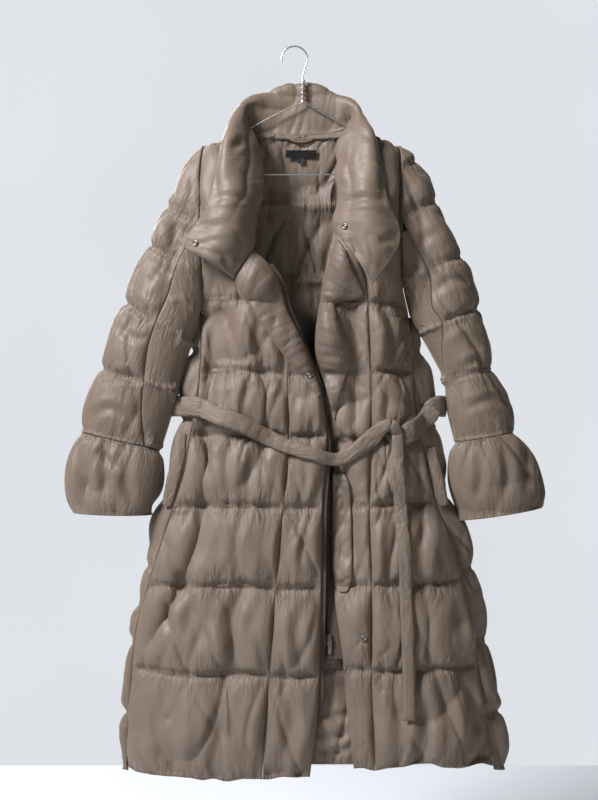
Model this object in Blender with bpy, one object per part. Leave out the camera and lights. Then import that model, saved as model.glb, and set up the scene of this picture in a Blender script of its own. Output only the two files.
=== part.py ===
"""Long belted puffer coat on a wire hanger, modelled as the pieces that a maker cuts and sews.

Frame: +Z up, the coat's front faces -Y, its wearer's left is at +X. The origin is the underside
of the hook, where a peg holds the hanger. Tables are in millimetres; "drop" is the distance
below the origin, so z = -drop. Every cloth piece is a padded wall round an open hollow.
"""
import math

import bmesh
import bpy
import numpy as np

MM = 0.001

# Cloth: thickness on a stitched line, swell of the down between lines, room between pieces.
SEAM_HALF = 1.5
BORDER_HALF = 0.7
SEAM_GAP = 0.4
SIDE_GAP = 1.0
FRONT_PUFF = 12.0
BACK_PUFF = 11.0
SLEEVE_PUFF = 8.0
LINING_PUFF = 5.0
SHOULDER_GAP_FRONT = 0.9
SHOULDER_GAP_BACK = 1.6
LAY_GAP = 1.9
LAY_ROUNDS = 4
EDGE_MARGIN = 3.0
EDGE_SLOPE = 1.6
BELT_SLOPE = 0.3
NEAR_FACE = 4.0

# Shoulder line and armholes.
NECK_DROP = 153.0
SHOULDER_ROUND = 75.0
ARM_DEPTH_FRONT = 46.0
ARM_DEPTH_BACK = 22.0
TOP_LINE = [  # x, drop of the shoulder seams and the back neck seam
    (-171, 186), (-102, 153), (-60, 163), (9, 167), (78, 163), (120, 153), (193, 186)]
ARMHOLE = {  # drop, x
    "left": [(186, -169), (260, -170), (340, -170), (430, -168), (500, -171)],
    "right": [(186, 193), (240, 187), (340, 187), (430, 193), (504, 210)]}

# Depth of the body: most forward line of the fronts and line of the back (drop, y).
FRONT_DEPTH = [(153, -48), (250, -58), (400, -62), (600, -60), (700, -56), (850, -64),
               (1000, -70), (1150, -76), (1350, -80)]
BACK_DEPTH = [(153, 11), (240, 17), (300, 20), (430, 26), (700, 28), (1000, 38), (1350, 44)]

# Free edge of each front, which above the waist is its neck seam and then its fold (drop, x, y).
FRONT_EDGE = {
    "left": [(153, -102, -44), (198, -95, -46), (274, -89, -50), (352, -85, -54),
             (379, -80, -56), (403, -54, -58), (439, -29, -60), (499, -11, -60), (563, 20, -60),
             (646, 49, -60), (680, 54, -60), (729, 58, -60), (855, 49, -62), (999, 47, -66),
             (1196, 42, -72), (1334, 27, -76)],
    "right": [(153, 120, -44), (198, 105, -46), (274, 95, -50), (338, 82, -52), (361, 75, -52),
              (411, 58, -50), (470, 47, -46), (524, 40, -40), (591, 38, -36), (657, 55, -32),
              (730, 64, -30), (777, 70, -30), (960, 69, -32), (1019, 73, -50), (1126, 87, -66),
              (1197, 92, -70), (1318, 106, -74)]}
# Stitched line that parts each front from its placket (drop, x).
PLACKET_SEAM = {
    "left": [(499, -11), (588, -14), (733, -11), (851, -21), (995, -34), (1141, -45),
             (1334, -59)],
    "right": [(153, 120), (198, 112), (275, 106), (358, 118), (470, 132), (700, 139),
              (851, 135), (989, 139), (1141, 138), (1318, 145)]}
# Side seams, a little to the front of the body's widest line (drop, x, y).
SIDE_SEAM = {
    "left": [(500, -171, 0), (537, -172, -15), (603, -174, -30), (657, -179, -36),
             (730, -192, -40), (784, -201, -42), (852, -221, -42), (925, -246, -40),
             (998, -269, -38), (1060, -287, -32), (1135, -298, -24), (1249, -305, -16),
             (1334, -308, -12)],
    "right": [(504, 210, 0), (537, 214, -15), (603, 217, -28), (662, 219, -32),
              (722, 230, -36), (785, 242, -38), (852, 260, -38), (925, 291, -38),
              (999, 307, -36), (1078, 324, -32), (1158, 337, -28), (1245, 350, -24),
              (1334, 366, -20)]}
# Widest line of the body (drop, x, y).
SIDE_EXTREME = {
    "left": [(500, -172, 2), (536, -179, 0), (603, -192, -2), (657, -199, -2),
             (723, -209, -2), (787, -222, -2), (855, -245, -2), (929, -264, -2),
             (1004, -277, -2), (1083, -295, -2), (1163, -303, -2), (1250, -309, -2),
             (1354, -311, -2)],
    "right": [(504, 211, 2), (536, 217, 0), (570, 230, -2), (603, 243, -2), (657, 251, -2),
              (723, 255, -2), (787, 262, -2), (855, 280, -2), (890, 300, -2), (929, 314, -2),
              (1004, 333, -2), (1083, 349, -2), (1163, 361, -2), (1250, 374, -2),
              (1354, 382, -2)]}

# Quilting lines (drop) and the hem.
FRONT_COLUMNS = 8
PLACKET_COLUMNS = 4
FRONT_LINES = {"left": [153, 478, 606, 721, 849, 993, 1150, 1334],
               "right": [153, 476, 602, 726, 847, 990, 1144, 1318]}
BACK_COLUMNS = 13
BACK_LINES = [153, 290, 432, 563, 694, 828, 965, 1105, 1236, 1344]

# Largest folds of the fronts: a trough's line (drop, x), its depth and half width.
FOLDS = {
    "left": [
        {"line": [(500, -150), (600, -153), (690, -160), (850, -165), (930, -183),
                  (995, -208), (1120, -265)], "depth": 17, "half": 15},
        {"line": [(880, -105), (950, -98), (1100, -112), (1300, -130)], "depth": 7, "half": 18},
        {"line": [(560, -64), (640, -52), (830, -62)], "depth": 6, "half": 14}],
    "right": [
        {"line": [(760, 214), (850, 222), (930, 226)], "depth": 10, "half": 16},
        {"line": [(990, 236), (1080, 240), (1160, 248)], "depth": 8, "half": 18},
        {"line": [(520, 196), (600, 192), (660, 190)], "depth": 6, "half": 14}]}

# Sleeves: outline of each ring in the front view, its depth, and where its two seams lie.
# outer and inner ends of the ring (x, drop), half depth, seam and armhole as a share of the
# half width from the ring's middle (-1 at the outer end, +1 at the inner end).
SLEEVE = {
    "left": [
        # outer_x outer_drop inner_x inner_drop depth seam  armhole
        (-171, 187, -112, 206, 22, -0.93, -0.93),
        (-203, 223, -120, 262, 36, -0.30, -0.30),
        (-240, 298, -128, 350, 43, 0.18, 0.18),
        (-273, 369, -150, 440, 46, 0.00, 0.62),
        (-292, 423, -176, 505, 46, 0.06, 0.97),
        (-314, 481, -193, 550, 46, 0.02, 1.0),
        (-338, 540, -204, 590, 45, 0.05, 1.0),
        (-361, 600, -218, 640, 44, 0.21, 1.0),
        (-378, 655, -232, 690, 43, 0.36, 1.0),
        (-394, 714, -250, 747, 41, 0.66, 1.0)],
    "right": [
        (194, 187, 135, 206, 22, -0.93, -0.93),
        (222, 215, 140, 262, 36, -0.35, -0.35),
        (264, 289, 146, 350, 43, 0.17, 0.17),
        (313, 392, 196, 440, 46, 0.20, 0.90),
        (326, 440, 215, 506, 46, 0.38, 0.97),
        (341, 488, 233, 533, 46, 0.34, 1.0),
        (355, 545, 258, 578, 45, 0.76, 1.0),
        (369, 600, 279, 622, 44, 0.92, 1.0),
        (384, 655, 282, 668, 43, 0.95, 1.0),
        (402, 716, 297, 733, 41, 0.95, 1.0)]}
SLEEVE_LINES = {"left": [2, 3, 5, 7], "right": [1, 2, 3, 5, 7]}
CUFF = {
    "left": [
        # outer_x outer_drop inner_x inner_drop depth
        (-394, 716, -250, 749, 41),
        (-408, 740, -242, 766, 50),
        (-417, 782, -246, 796, 55),
        (-416, 832, -256, 838, 52),
        (-409, 864, -264, 868, 49)],
    "right": [
        (402, 717.5, 297, 734.5, 41),
        (428, 742, 288, 758, 48),
        (451, 784, 286, 804, 52),
        (460, 826, 292, 848, 49),
        (457, 854, 298, 879, 46)]}
SLEEVE_MID_Y = -10.0

# Collar: neck seam, inner roll, crest and free edge of each station (x, y, drop), from the
# wearer's right end round the back of the neck to the left end.
COLLAR = [
    ((-113, -74, 440), (-117, -82, 434), (-150, -96, 412), (-196, -84, 386)),
    ((-75, -60, 378), (-90, -76, 382), (-130, -102, 368), (-188, -84, 358)),
    ((-80, -54, 340), (-75, -66, 340), (-118, -102, 330), (-172, -80, 336)),
    ((-83, -50, 284), (-66, -52, 284), (-110, -96, 288), (-151, -78, 294)),
    ((-86, -46, 240), (-64, -38, 238), (-120, -84, 228), (-141, -68, 238)),
    ((-91, -36, 188), (-77, -28, 178), (-112, -64, 168), (-129, -60, 188)),
    ((-103, 2, 144), (-94, 8, 132), (-95, -11, 113), (-112, 2, 129)),
    ((-64, 13, 157), (-63, 18, 144), (-62, 13, 92), (-78, 38, 112)),
    ((-26, 14, 162), (-26, 19, 142), (-28, 17, 76), (-30, 45, 88)),
    ((9, 14, 164), (9, 19, 142), (9, 18, 70), (9, 48, 82)),
    ((44, 14, 162), (44, 19, 142), (48, 17, 76), (50, 45, 88)),
    ((82, 13, 157), (79, 18, 144), (82, 13, 94), (92, 38, 110)),
    ((120, 2, 144), (111, 8, 132), (113, -13, 115), (124, 0, 129)),
    ((101, -36, 188), (86, -28, 180), (130, -62, 170), (145, -58, 186)),
    ((94, -46, 240), (79, -38, 242), (134, -82, 230), (155, -66, 240)),
    ((89, -50, 284), (82, -54, 290), (126, -98, 294), (165, -78, 296)),
    ((77, -52, 330), (76, -64, 332), (132, -102, 334), (187, -86, 352)),
    ((83, -60, 362), (92, -76, 368), (138, -102, 376), (180, -90, 392)),
    ((97, -70, 386), (104, -84, 394), (120, -98, 420), (136, -92, 452))]
COLLAR_COLUMNS = 10
COLLAR_HALF = 9.0
COLLAR_EDGE_HALF = 1.6

# Turned-out upper edges of the fronts: fold and free edge (x, drop) and half thickness.
LAPEL = {
    "left": [
        ((-76, 389), (-108, 443), 4),
        ((-58, 402), (-97, 466), 9),
        ((-32, 436), (-80, 490), 9),
        ((-14, 494), (-58, 522), 6),
        ((3, 529), (-33, 558), 9),
        ((18, 563), (-11, 586), 8),
        ((33, 607), (17, 617), 5),
        ((48, 645), (42, 652), 3)],
    "right": [
        ((77, 366), (90, 388), 3),
        ((66, 394), (102, 420), 6),
        ((57, 424), (118, 450), 7),
        ((51, 450), (122, 470), 7),
        ((47, 474), (74, 482), 5),
        ((41, 522), (83, 530), 6),
        ((38, 566), (100, 568), 3),
        ((43, 592), (100, 594), 2),
        ((54, 628), (88, 624), 2),
        ((63, 658), (77, 666), 2),
        ((67, 686), (72, 692), 1)]}

# Belt runs: centre (x, drop) and half width; half thickness is the same all along.
BELT_HALF_THICK = 4.5
BELT_LEFT = [(-181, 669, 14), (-168, 672, 14), (-135, 686, 12), (-98, 699, 12), (-54, 722, 11),
             (-15, 740, 10), (30, 753, 9), (75, 764, 9), (112, 746, 11), (146, 718, 12),
             (158, 703, 8)]
BELT_END = [(163, 716, 6), (178, 745, 11), (186, 790, 11), (190, 850, 11), (196, 930, 11),
            (199, 1010, 11), (202, 1100, 11), (204, 1226, 11)]
BELT_RIGHT = [(199, 720, 14), (222, 706, 14), (246, 684, 14), (256, 664, 14)]
BELT_BACK_DROP = 668.0
BELT_BACK_HALF = 15.0
BELT_BACK_GAP = 0.6

# Wind flap below the belt, zips, slider and pull.
FLAP = [(790, 69, 90), (815, 69, 100), (880, 69, 103), (950, 69, 104), (990, 72, 102),
        (1004, 80, 94)]
FLAP_HALF = 4.0
# Inner end of the right front below the zip: its two borders (drop, x, x), its quilting lines,
# half thickness between them, and how far behind the front's edge it hangs.
UNDERLAP = [(1112, 40, 100), (1144, 38, 104), (1200, 34, 110), (1260, 28, 116), (1316, 22, 122)]
UNDERLAP_LINES = [1112, 1144, 1316]
UNDERLAP_HALF = 5.5
UNDERLAP_BEHIND = 15.0
TAPE_REACH = [(410, 8), (515, 8), (570, 4), (700, 4), (770, 9), (1225, 9)]  # drop, past edge
TAPE_THICK = 1.2
TAPE_BEHIND = {"left": 3.0, "right": 3.2}
TAPE_INSET = 3.0
TAPE_LEFT_SPAN = (410, 1225)
TAPE_RIGHT_SPAN = (800, 1126)
TAPE_RIGHT_X = 58.0
SLIDER_X = 63.0
SLIDER_DROP = 1086.0
PIVOT_DROP = 1085.0
PULL_CLEAR = 0.6
SLIDER_CLEAR = 0.8
PULL_TOP = 1.0
SLIDER_SIZE = (9.0, 5.0, 11.0)
PULL_LENGTH = 31.0
PULL_WIDTH = 7.0
PULL_THICK = 1.6

SNAP_RADIUS = 5.5
SNAP_THICK = 2.0
SNAPS = {"collar_left": (-176, 376), "collar_right": (90, 347), "lapel_left": (26, 612),
         "front_right": (124, 1083)}
LABEL = {"width": 58.0, "height": 14.0, "centre": (11.0, 198.0)}
SIZE_TAB = {"width": 13.0, "height": 10.0, "centre": (11.0, 210.8)}
LABEL_THICK = 0.8
SNAP_LIFT = 0.5
HANG_LOOP = [(-9, 170), (0, 173), (12, 174.5), (24, 173), (33, 170)]  # x, drop
POCKET_WELT = {  # x, y, drop
    "left": [(-206, -36, 716), (-212, -40, 760), (-223, -42, 806), (-234, -42, 850)],
    "right": [(249, -34, 744), (255, -38, 780), (263, -40, 815), (273, -40, 850)]}
WELT_HALF_WIDTH = 13.0
WELT_HALF_THICK = 6.0

# Hanger wire: centre line in the plane y = 0 (x, drop).
WIRE_RADIUS = 1.5
HOOK_RADIUS = 24.0
HOOK_CENTRE = (-1.0, 22.5)
NECK_X = 14.0
TWIST_TOP = 62.0
TWIST_BOTTOM = 98.0
TWIST_TURNS = 4
TWIST_RADIUS = 3.7
ARM_LEFT_END = -164.0
ARM_RIGHT_END = 187.0
BAR_DROP = 237.0


# ---------------------------------------------------------------- curves and grids
def smooth(table, column, at):
    """Value of a table's column along its first column, on a monotone cubic curve."""
    knots = np.array([row[0] for row in table], float)
    values = np.array([row[column] for row in table], float)
    step = np.diff(knots)
    slope = np.diff(values) / step
    tangent = np.concatenate(([slope[0]], np.zeros(len(slope) - 1), [slope[-1]]))
    product = slope[:-1] * slope[1:]
    rising = product > 0
    total = np.where(rising, slope[:-1] + slope[1:], 1.0)
    tangent[1:-1] = np.where(rising, 2 * product / total, 0.0)
    place = np.clip(np.asarray(at, float), knots[0], knots[-1])
    k = np.clip(np.searchsorted(knots, place, side="right") - 1, 0, len(step) - 1)
    t = (place - knots[k]) / step[k]
    return ((1 + 2 * t) * (1 - t) ** 2 * values[k] + t * (1 - t) ** 2 * step[k] * tangent[k]
            + t * t * (3 - 2 * t) * values[k + 1] + t * t * (t - 1) * step[k] * tangent[k + 1])


def spline(points, samples_per_span):
    """Catmull-Rom curve through a list of points, as an array of positions."""
    p = np.asarray(points, float)
    p = np.vstack((2 * p[0] - p[1], p, 2 * p[-1] - p[-2]))
    t = np.linspace(0, 1, samples_per_span, endpoint=False)[:, None]
    spans = []
    for a, b, c, d in zip(p[:-3], p[1:-2], p[2:-1], p[3:]):
        spans.append(0.5 * (2 * b + (c - a) * t + (2 * a - 5 * b + 4 * c - d) * t ** 2
                            + (3 * b - a - 3 * c + d) * t ** 3))
    return np.vstack(spans + [p[-2][None]])


def spread(curve, count):
    """The same curve at equal steps of its length."""
    length = np.concatenate(([0], np.cumsum(np.linalg.norm(np.diff(curve, axis=0), axis=1))))
    at = np.linspace(0, length[-1], count)
    return np.stack([np.interp(at, length, curve[:, k]) for k in range(curve.shape[1])], -1)


def swell(drop, lines):
    """Share of full swell between two quilting lines: 0 on a line, 1 half way."""
    lines = np.asarray(lines, float)
    k = np.clip(np.searchsorted(lines, drop, side="right") - 1, 0, len(lines) - 2)
    t = np.clip((drop - lines[k]) / (lines[k + 1] - lines[k]), 0, 1)
    return np.sin(math.pi * t) ** 0.7


def levels(lines, shares=(0.0, 0.28, 0.7)):
    """Rows of a quilted piece: the same few between every two lines, and the last line."""
    rows = [a + (b - a) * t for a, b in zip(lines[:-1], lines[1:]) for t in shares]
    return np.array(rows + [lines[-1]], float)


def seam_half(columns):
    """Half thickness on the stitched lines of a panel: thinner along its two side borders."""
    half = np.full(columns, SEAM_HALF)
    half[[0, -1]] = BORDER_HALF
    return half[None, :]


def rounded(count, sharpness=6):
    """Share of thickness across a strip: 0 at both borders, full over the middle."""
    s = np.linspace(-1, 1, count)
    return np.sqrt(1 - np.abs(s) ** sharpness)


def finer(grid, steps):
    """Grid with each cell divided into steps by steps, on its flat quads."""
    rows, columns = grid.shape[:2]
    r = np.linspace(0, rows - 1, (rows - 1) * steps + 1)
    c = np.linspace(0, columns - 1, (columns - 1) * steps + 1)
    r0 = np.minimum(r.astype(int), rows - 2)
    c0 = np.minimum(c.astype(int), columns - 2)
    u = (r - r0)[:, None, None]
    v = (c - c0)[None, :, None]
    a = grid[r0][:, c0] * (1 - v) + grid[r0][:, c0 + 1] * v
    b = grid[r0 + 1][:, c0] * (1 - v) + grid[r0 + 1][:, c0 + 1] * v
    return a * (1 - u) + b * u


def grid_normals(grid):
    """Unit normals of a grid of points, from the steps along its rows and columns."""
    normal = np.cross(np.gradient(grid, axis=0), np.gradient(grid, axis=1))
    length = np.linalg.norm(normal, axis=-1, keepdims=True)
    return normal / np.maximum(length, 1e-9)


# ---------------------------------------------------------------- objects
MATERIALS = {}


def material(name, colour, roughness, metallic=0.0):
    """A Principled material, made once."""
    if name not in MATERIALS:
        made = bpy.data.materials.new(name)
        made.use_nodes = True
        shader = made.node_tree.nodes["Principled BSDF"]
        shader.inputs["Base Color"].default_value = (*colour, 1.0)
        shader.inputs["Roughness"].default_value = roughness
        shader.inputs["Metallic"].default_value = metallic
        MATERIALS[name] = made
    return MATERIALS[name]


def shell_material():
    return material("down_proof_nylon", (0.33, 0.26, 0.20), 0.45)


def lining_material():
    return material("lining_nylon", (0.30, 0.24, 0.19), 0.5)


def trim_material():
    return material("label_satin", (0.02, 0.02, 0.03), 0.6)


def steel_material():
    return material("bright_steel", (0.62, 0.62, 0.64), 0.25, 1.0)


def tape_material():
    return material("zip_tape", (0.20, 0.16, 0.13), 0.7)


def brass_material():
    return material("zip_metal", (0.45, 0.43, 0.40), 0.3, 1.0)


def add_object(name, mesh_data, finish, parent):
    """Object of a mesh at the origin, shaded smooth, hung on the given empty."""
    item = bpy.data.objects.new(name, mesh_data)
    bpy.context.scene.collection.objects.link(item)
    mesh_data.materials.append(finish)
    mesh_data.shade_smooth()
    mesh_data.set_sharp_from_angle(angle=math.radians(50))
    item.parent = parent
    return item


def mesh_from(name, points, faces):
    """Closed mesh of points in millimetres, with only the points that its faces use."""
    data = bpy.data.meshes.new(name)
    made = bmesh.new()
    places = np.asarray(points, float).reshape(-1, 3) * MM
    corners = {}
    for face in faces:
        for k in face:
            if k not in corners:
                corners[k] = made.verts.new(places[k])
        ring = [corners[k] for k in dict.fromkeys(face)]
        if len(ring) > 2:
            made.faces.new(ring)
    bmesh.ops.remove_doubles(made, verts=made.verts, dist=1e-6)
    bmesh.ops.recalc_face_normals(made, faces=made.faces)
    made.to_mesh(data)
    made.free()
    return data


def wall_faces(index, wrap=False, open_column=None):
    """Faces of an outer and an inner grid and the rim that joins them.

    index holds the point number of each place in the grid; the inner grid's numbers follow on.
    wrap joins the last column to the first, and no cells start at open_column.
    """
    rows, columns = index.shape
    count = rows * columns
    across = [c for c in range(columns if wrap else columns - 1) if c != open_column]
    faces = []
    edges = {}
    for r in range(rows - 1):
        for c in across:
            d = (c + 1) % columns
            ring = (int(index[r, c]), int(index[r, d]), int(index[r + 1, d]), int(index[r + 1, c]))
            faces.append(ring)
            faces.append(tuple(count + k for k in reversed(ring)))
            for a, b in zip(ring, ring[1:] + ring[:1]):
                edges[(a, b)] = True
    for a, b in edges:
        if (b, a) not in edges:
            faces.append((b, a, count + a, count + b))
    return faces


def grid_index(grid):
    return np.arange(grid.shape[0] * grid.shape[1]).reshape(grid.shape[:2])


def wall(name, grid, outer, inner, finish, parent, wrap=False):
    """Padded wall on a grid of points: thickness outer and inner along the grid's normals."""
    normal = wrapped_normals(grid) if wrap else grid_normals(grid)
    points = np.concatenate(((grid + normal * outer[..., None]).reshape(-1, 3),
                             (grid - normal * inner[..., None]).reshape(-1, 3)))
    faces = wall_faces(grid_index(grid), wrap)
    return add_object(name, mesh_from(name, points, faces), finish, parent)


def wrapped_normals(grid):
    """Normals of a grid whose last column is followed by its first."""
    across = np.roll(grid, -1, axis=1) - np.roll(grid, 1, axis=1)
    normal = np.cross(np.gradient(grid, axis=0), across)
    return normal / np.maximum(np.linalg.norm(normal, axis=-1, keepdims=True), 1e-9)


# ---------------------------------------------------------------- body
def side_sign(side):
    return -1.0 if side == "left" else 1.0


def top_line_drop(x, drop):
    """Drop of a row at x: the rows near the shoulder follow its slope and then level out."""
    knots = [row[0] for row in TOP_LINE]
    rise = np.interp(x, knots, [row[1] - NECK_DROP for row in TOP_LINE])
    fade = np.clip(1 - (drop - NECK_DROP) / 150.0, 0, 1) ** 2
    return drop + rise * fade


def shoulder_round(drop):
    """Share of the body's depth reached below the shoulder seam, on a quarter circle."""
    t = np.clip((drop - NECK_DROP) / SHOULDER_ROUND, 0, 1)
    return np.sqrt(1 - (1 - t) ** 2)


def armhole_depth(side, drop):
    """Share of the armhole's depth at a drop: an ellipse from shoulder to underarm."""
    bottom = ARMHOLE[side][-1][0]
    t = np.clip((drop - NECK_DROP) / (bottom - NECK_DROP), 0, 1)
    return np.sqrt(np.clip(1 - (2 * t - 1) ** 2, 0, 1))


def front_side_x(side, drop):
    """Outer border of a front: its armhole, then its side seam."""
    bottom = ARMHOLE[side][-1][0]
    return np.where(drop < bottom, smooth(ARMHOLE[side], 1, drop),
                    smooth(SIDE_SEAM[side], 1, drop))


def front_side_y(side, drop):
    bottom = ARMHOLE[side][-1][0]
    return np.where(drop < bottom, -ARM_DEPTH_FRONT * armhole_depth(side, drop),
                    smooth(SIDE_SEAM[side], 2, drop))


def fold_depth(side, x, drop):
    """How far the front's large folds push it back at a point."""
    total = np.zeros(np.broadcast(x, drop).shape)
    for fold in FOLDS[side]:
        line = fold["line"]
        centre = smooth(line, 1, drop)
        span = np.clip((drop - line[0][0]) / 60, 0, 1) * np.clip((line[-1][0] - drop) / 60, 0, 1)
        total = total + fold["depth"] * np.sin(span * math.pi / 2) * np.exp(
            -((x - centre) / fold["half"]) ** 2)
    return total


def front_y(side, x, drop):
    """Middle of a front's wall: flat across, turned back at its free edge and at its side."""
    edge_x = smooth(FRONT_EDGE[side], 1, drop)
    edge_y = smooth(FRONT_EDGE[side], 2, drop)
    side_x = front_side_x(side, drop)
    reach = smooth(FRONT_DEPTH, 1, drop)
    s = np.clip((x - edge_x) / (side_x - edge_x), 0, 1)
    round_up = shoulder_round(drop)
    side_y = front_side_y(side, drop) / np.maximum(round_up, 0.1)
    y = (reach + (edge_y - reach) * np.clip(1 - s / 0.35, 0, 1) ** 2
         + (side_y - reach) * np.clip((s - 0.6) / 0.4, 0, 1) ** 2)
    return y * round_up + fold_depth(side, x, drop) - SHOULDER_GAP_FRONT * (1 - round_up)


def front_grid(side, rows, inner_x, outer_x, columns):
    """Grid of a front piece between two borders, each an x for every row."""
    s = np.linspace(0, 1, columns)[None, :]
    x = inner_x[:, None] + (outer_x - inner_x)[:, None] * s
    drop = np.repeat(rows[:, None], columns, axis=1)
    y = front_y(side, x, drop)
    return np.stack((x, y, -top_line_drop(x, drop)), -1)


def outward(grid, side):
    """Columns ordered so that the grid's normals face out of the front."""
    return grid[:, ::-1] if side == "left" else grid


def front_rows(side):
    lines = FRONT_LINES[side]
    top = [lines[0], lines[0] + 4, lines[0] + 14, lines[0] + 36, lines[0] + 75,
           lines[0] + 130, lines[0] + 190, lines[0] + 255]
    return np.concatenate((top, levels(lines[1:])))


def front_piece(side):
    """Grid and half thicknesses of a front panel, from placket seam to armhole and side seam."""
    sign = side_sign(side)
    rows = front_rows(side)
    seam_x = smooth(PLACKET_SEAM[side], 1, rows)
    edge_x = smooth(FRONT_EDGE[side], 1, rows)
    start = PLACKET_SEAM[side][0][0]
    inner_x = np.where(rows < start, edge_x, seam_x) + sign * SEAM_GAP / 2
    outer_x = front_side_x(side, rows) - sign * SIDE_GAP
    columns = FRONT_COLUMNS
    grid = outward(front_grid(side, rows, inner_x, outer_x, columns), side)
    share = swell(rows, FRONT_LINES[side])[:, None] * rounded(columns)[None, :]
    half = seam_half(columns)
    return rows, grid, half + FRONT_PUFF * share, half + LINING_PUFF * share


def placket_piece(side):
    """Grid and half thicknesses of the placket along a front's free edge."""
    sign = side_sign(side)
    start = PLACKET_SEAM[side][0][0] + 6
    rows = np.concatenate(([start], front_rows(side)[front_rows(side) > start + 4]))
    seam_x = smooth(PLACKET_SEAM[side], 1, rows) - sign * SEAM_GAP / 2
    edge_x = smooth(FRONT_EDGE[side], 1, rows)
    columns = PLACKET_COLUMNS
    grid = outward(front_grid(side, rows, edge_x, seam_x, columns), side)
    width = np.abs(seam_x - edge_x)[:, None]
    share = swell(rows, FRONT_LINES[side])[:, None] * rounded(columns)[None, :]
    share = share * np.clip(width / 40, 0.1, 0.8)
    half = seam_half(columns)
    return rows, grid, half + FRONT_PUFF * share, half + LINING_PUFF * share


def build_front(side, parent):
    rows, grid, outer, inner = front_piece(side)
    wall("front_" + side, grid, outer, inner, shell_material(), parent)


def build_placket(side, parent):
    rows, grid, outer, inner = placket_piece(side)
    wall("placket_" + side, grid, outer, inner, shell_material(), parent)


def back_row(drop):
    """Line of the back at one drop, from its left border round to its right border."""
    depth = float(smooth(BACK_DEPTH, 1, drop))
    round_up = float(shoulder_round(drop))
    ends = []
    for side in ("left", "right"):
        sign = side_sign(side)
        if drop < ARMHOLE[side][-1][0]:
            x = float(smooth(ARMHOLE[side], 1, drop))
            y = ARM_DEPTH_BACK * float(armhole_depth(side, drop))
            border = np.array([x - sign * SIDE_GAP, y])
            turn = border + np.array([-sign * 10, (depth * round_up - y) * 0.5])
        else:
            border = np.array([float(smooth(SIDE_SEAM[side], 1, drop)) + sign * SIDE_GAP,
                               float(smooth(SIDE_SEAM[side], 2, drop)) + SIDE_GAP])
            turn = np.array([float(smooth(SIDE_EXTREME[side], 1, drop)),
                             float(smooth(SIDE_EXTREME[side], 2, drop))])
        corner = np.array([turn[0] - sign * 34, depth * 0.86 * round_up])
        ends.append((border, turn, corner))
    left, right = ends
    middle = [np.array([left[2][0] * (1 - t) + right[2][0] * t, depth]) for t in (0.3, 0.5, 0.7)]
    points = [left[0], left[1], left[2], *middle, right[2], right[1], right[0]]
    keep = [points[0]] + [b for a, b in zip(points[:-1], points[1:])
                          if np.linalg.norm(b - a) > 1.0]
    return np.array(keep) + np.array([0.0, SHOULDER_GAP_BACK * (1 - round_up)])


def back_grid(rows, columns):
    """Grid of the back's wall, its normals facing out."""
    lines = []
    for drop in rows:
        curve = spread(spline(back_row(drop), 10), columns)
        z = -top_line_drop(curve[:, 0], drop)
        lines.append(np.column_stack((curve, z)))
    return np.array(lines)


def build_back(parent):
    rows = np.concatenate(([153, 157, 167, 189, 225, 262], levels(BACK_LINES[1:])))
    columns = BACK_COLUMNS
    grid = back_grid(rows, columns)[:, ::-1]
    share = swell(rows, BACK_LINES)[:, None] * rounded(columns, 14)[None, :]
    half = seam_half(columns)
    wall("back_panel", grid, half + BACK_PUFF * share, half + LINING_PUFF * share,
         shell_material(), parent)


def row_of(x, drop):
    """Row of the body that passes through a point: undoes the slope of the shoulder line."""
    row = np.array(drop, float)
    for _ in range(4):
        row = row + (drop - top_line_drop(x, row))
    return row


def face_of(piece, x, row):
    """Y of a piece's outer face at points of its rows, and which points lie over the piece."""
    rows, grid, outer, inner = piece
    face = grid + grid_normals(grid) * outer[..., None]
    k = np.clip(np.searchsorted(rows, row, side="right") - 1, 0, len(rows) - 2)
    t = np.clip((row - rows[k]) / (rows[k + 1] - rows[k]), 0, 1)[:, None, None]
    line = face[k] * (1 - t) + face[k + 1] * t
    across = line[..., 0]
    c = np.clip((across < x[:, None]).sum(axis=1) - 1, 0, across.shape[1] - 2)
    at = np.arange(len(x))
    start = across[at, c]
    s = np.clip((x - start) / np.maximum(across[at, c + 1] - start, 1e-6), 0, 1)
    y = line[at, c, 1] * (1 - s) + line[at, c + 1, 1] * s
    inside = (x > across[:, 0] - NEAR_FACE) & (x < across[:, -1] + NEAR_FACE)
    return y, inside & (row > rows[0] - NEAR_FACE)


def front_face(side, x, drop):
    """Y of the outer face of a front and its placket at points, on the flats of their walls."""
    row = row_of(x, drop).ravel()
    best = np.full(row.shape, 200.0)
    for piece in (front_piece(side), placket_piece(side)):
        y, inside = face_of(piece, np.asarray(x, float).ravel(), row)
        best = np.where(inside, np.minimum(best, y), best)
    return best.reshape(np.shape(x))


def laid_on_fronts(grid, half, slope=EDGE_SLOPE):
    """Grid moved forward where it lies over a front, until its inner wall clears every flat."""
    steps = 6
    rows, columns = half.shape
    laid = grid.copy()
    laid[..., 1] = np.minimum(grid[..., 1], front_limit(grid, slope) - half)
    for _ in range(LAY_ROUNDS):
        inner = finer(laid - grid_normals(laid) * half[..., None], steps)
        short = np.pad(np.maximum(inner[..., 1] - front_limit(inner, slope), 0), steps)
        need = np.zeros(half.shape)
        for r in range(1, 2 * steps):
            for c in range(1, 2 * steps):
                block = short[r:r + (rows - 1) * steps + 1:steps,
                              c:c + (columns - 1) * steps + 1:steps]
                need = np.maximum(need, block)
        laid[..., 1] -= need
    return laid


def front_limit(points, slope):
    """Largest y at which points clear the fronts; it falls back past their edges by slope."""
    x = points[..., 0]
    drop = -points[..., 2]
    limit = np.full(x.shape, 200.0)
    for side in ("left", "right"):
        sign = side_sign(side)
        edge = smooth(FRONT_EDGE[side], 1, drop)
        past = np.maximum(sign * (edge - x) - EDGE_MARGIN, 0)
        face = front_face(side, np.where(sign * x < sign * edge, edge, x), drop)
        limit = np.minimum(limit, face - LAY_GAP + past * slope)
    return np.where(row_of(x, drop) > NECK_DROP - 2, limit, 200.0)


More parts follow.
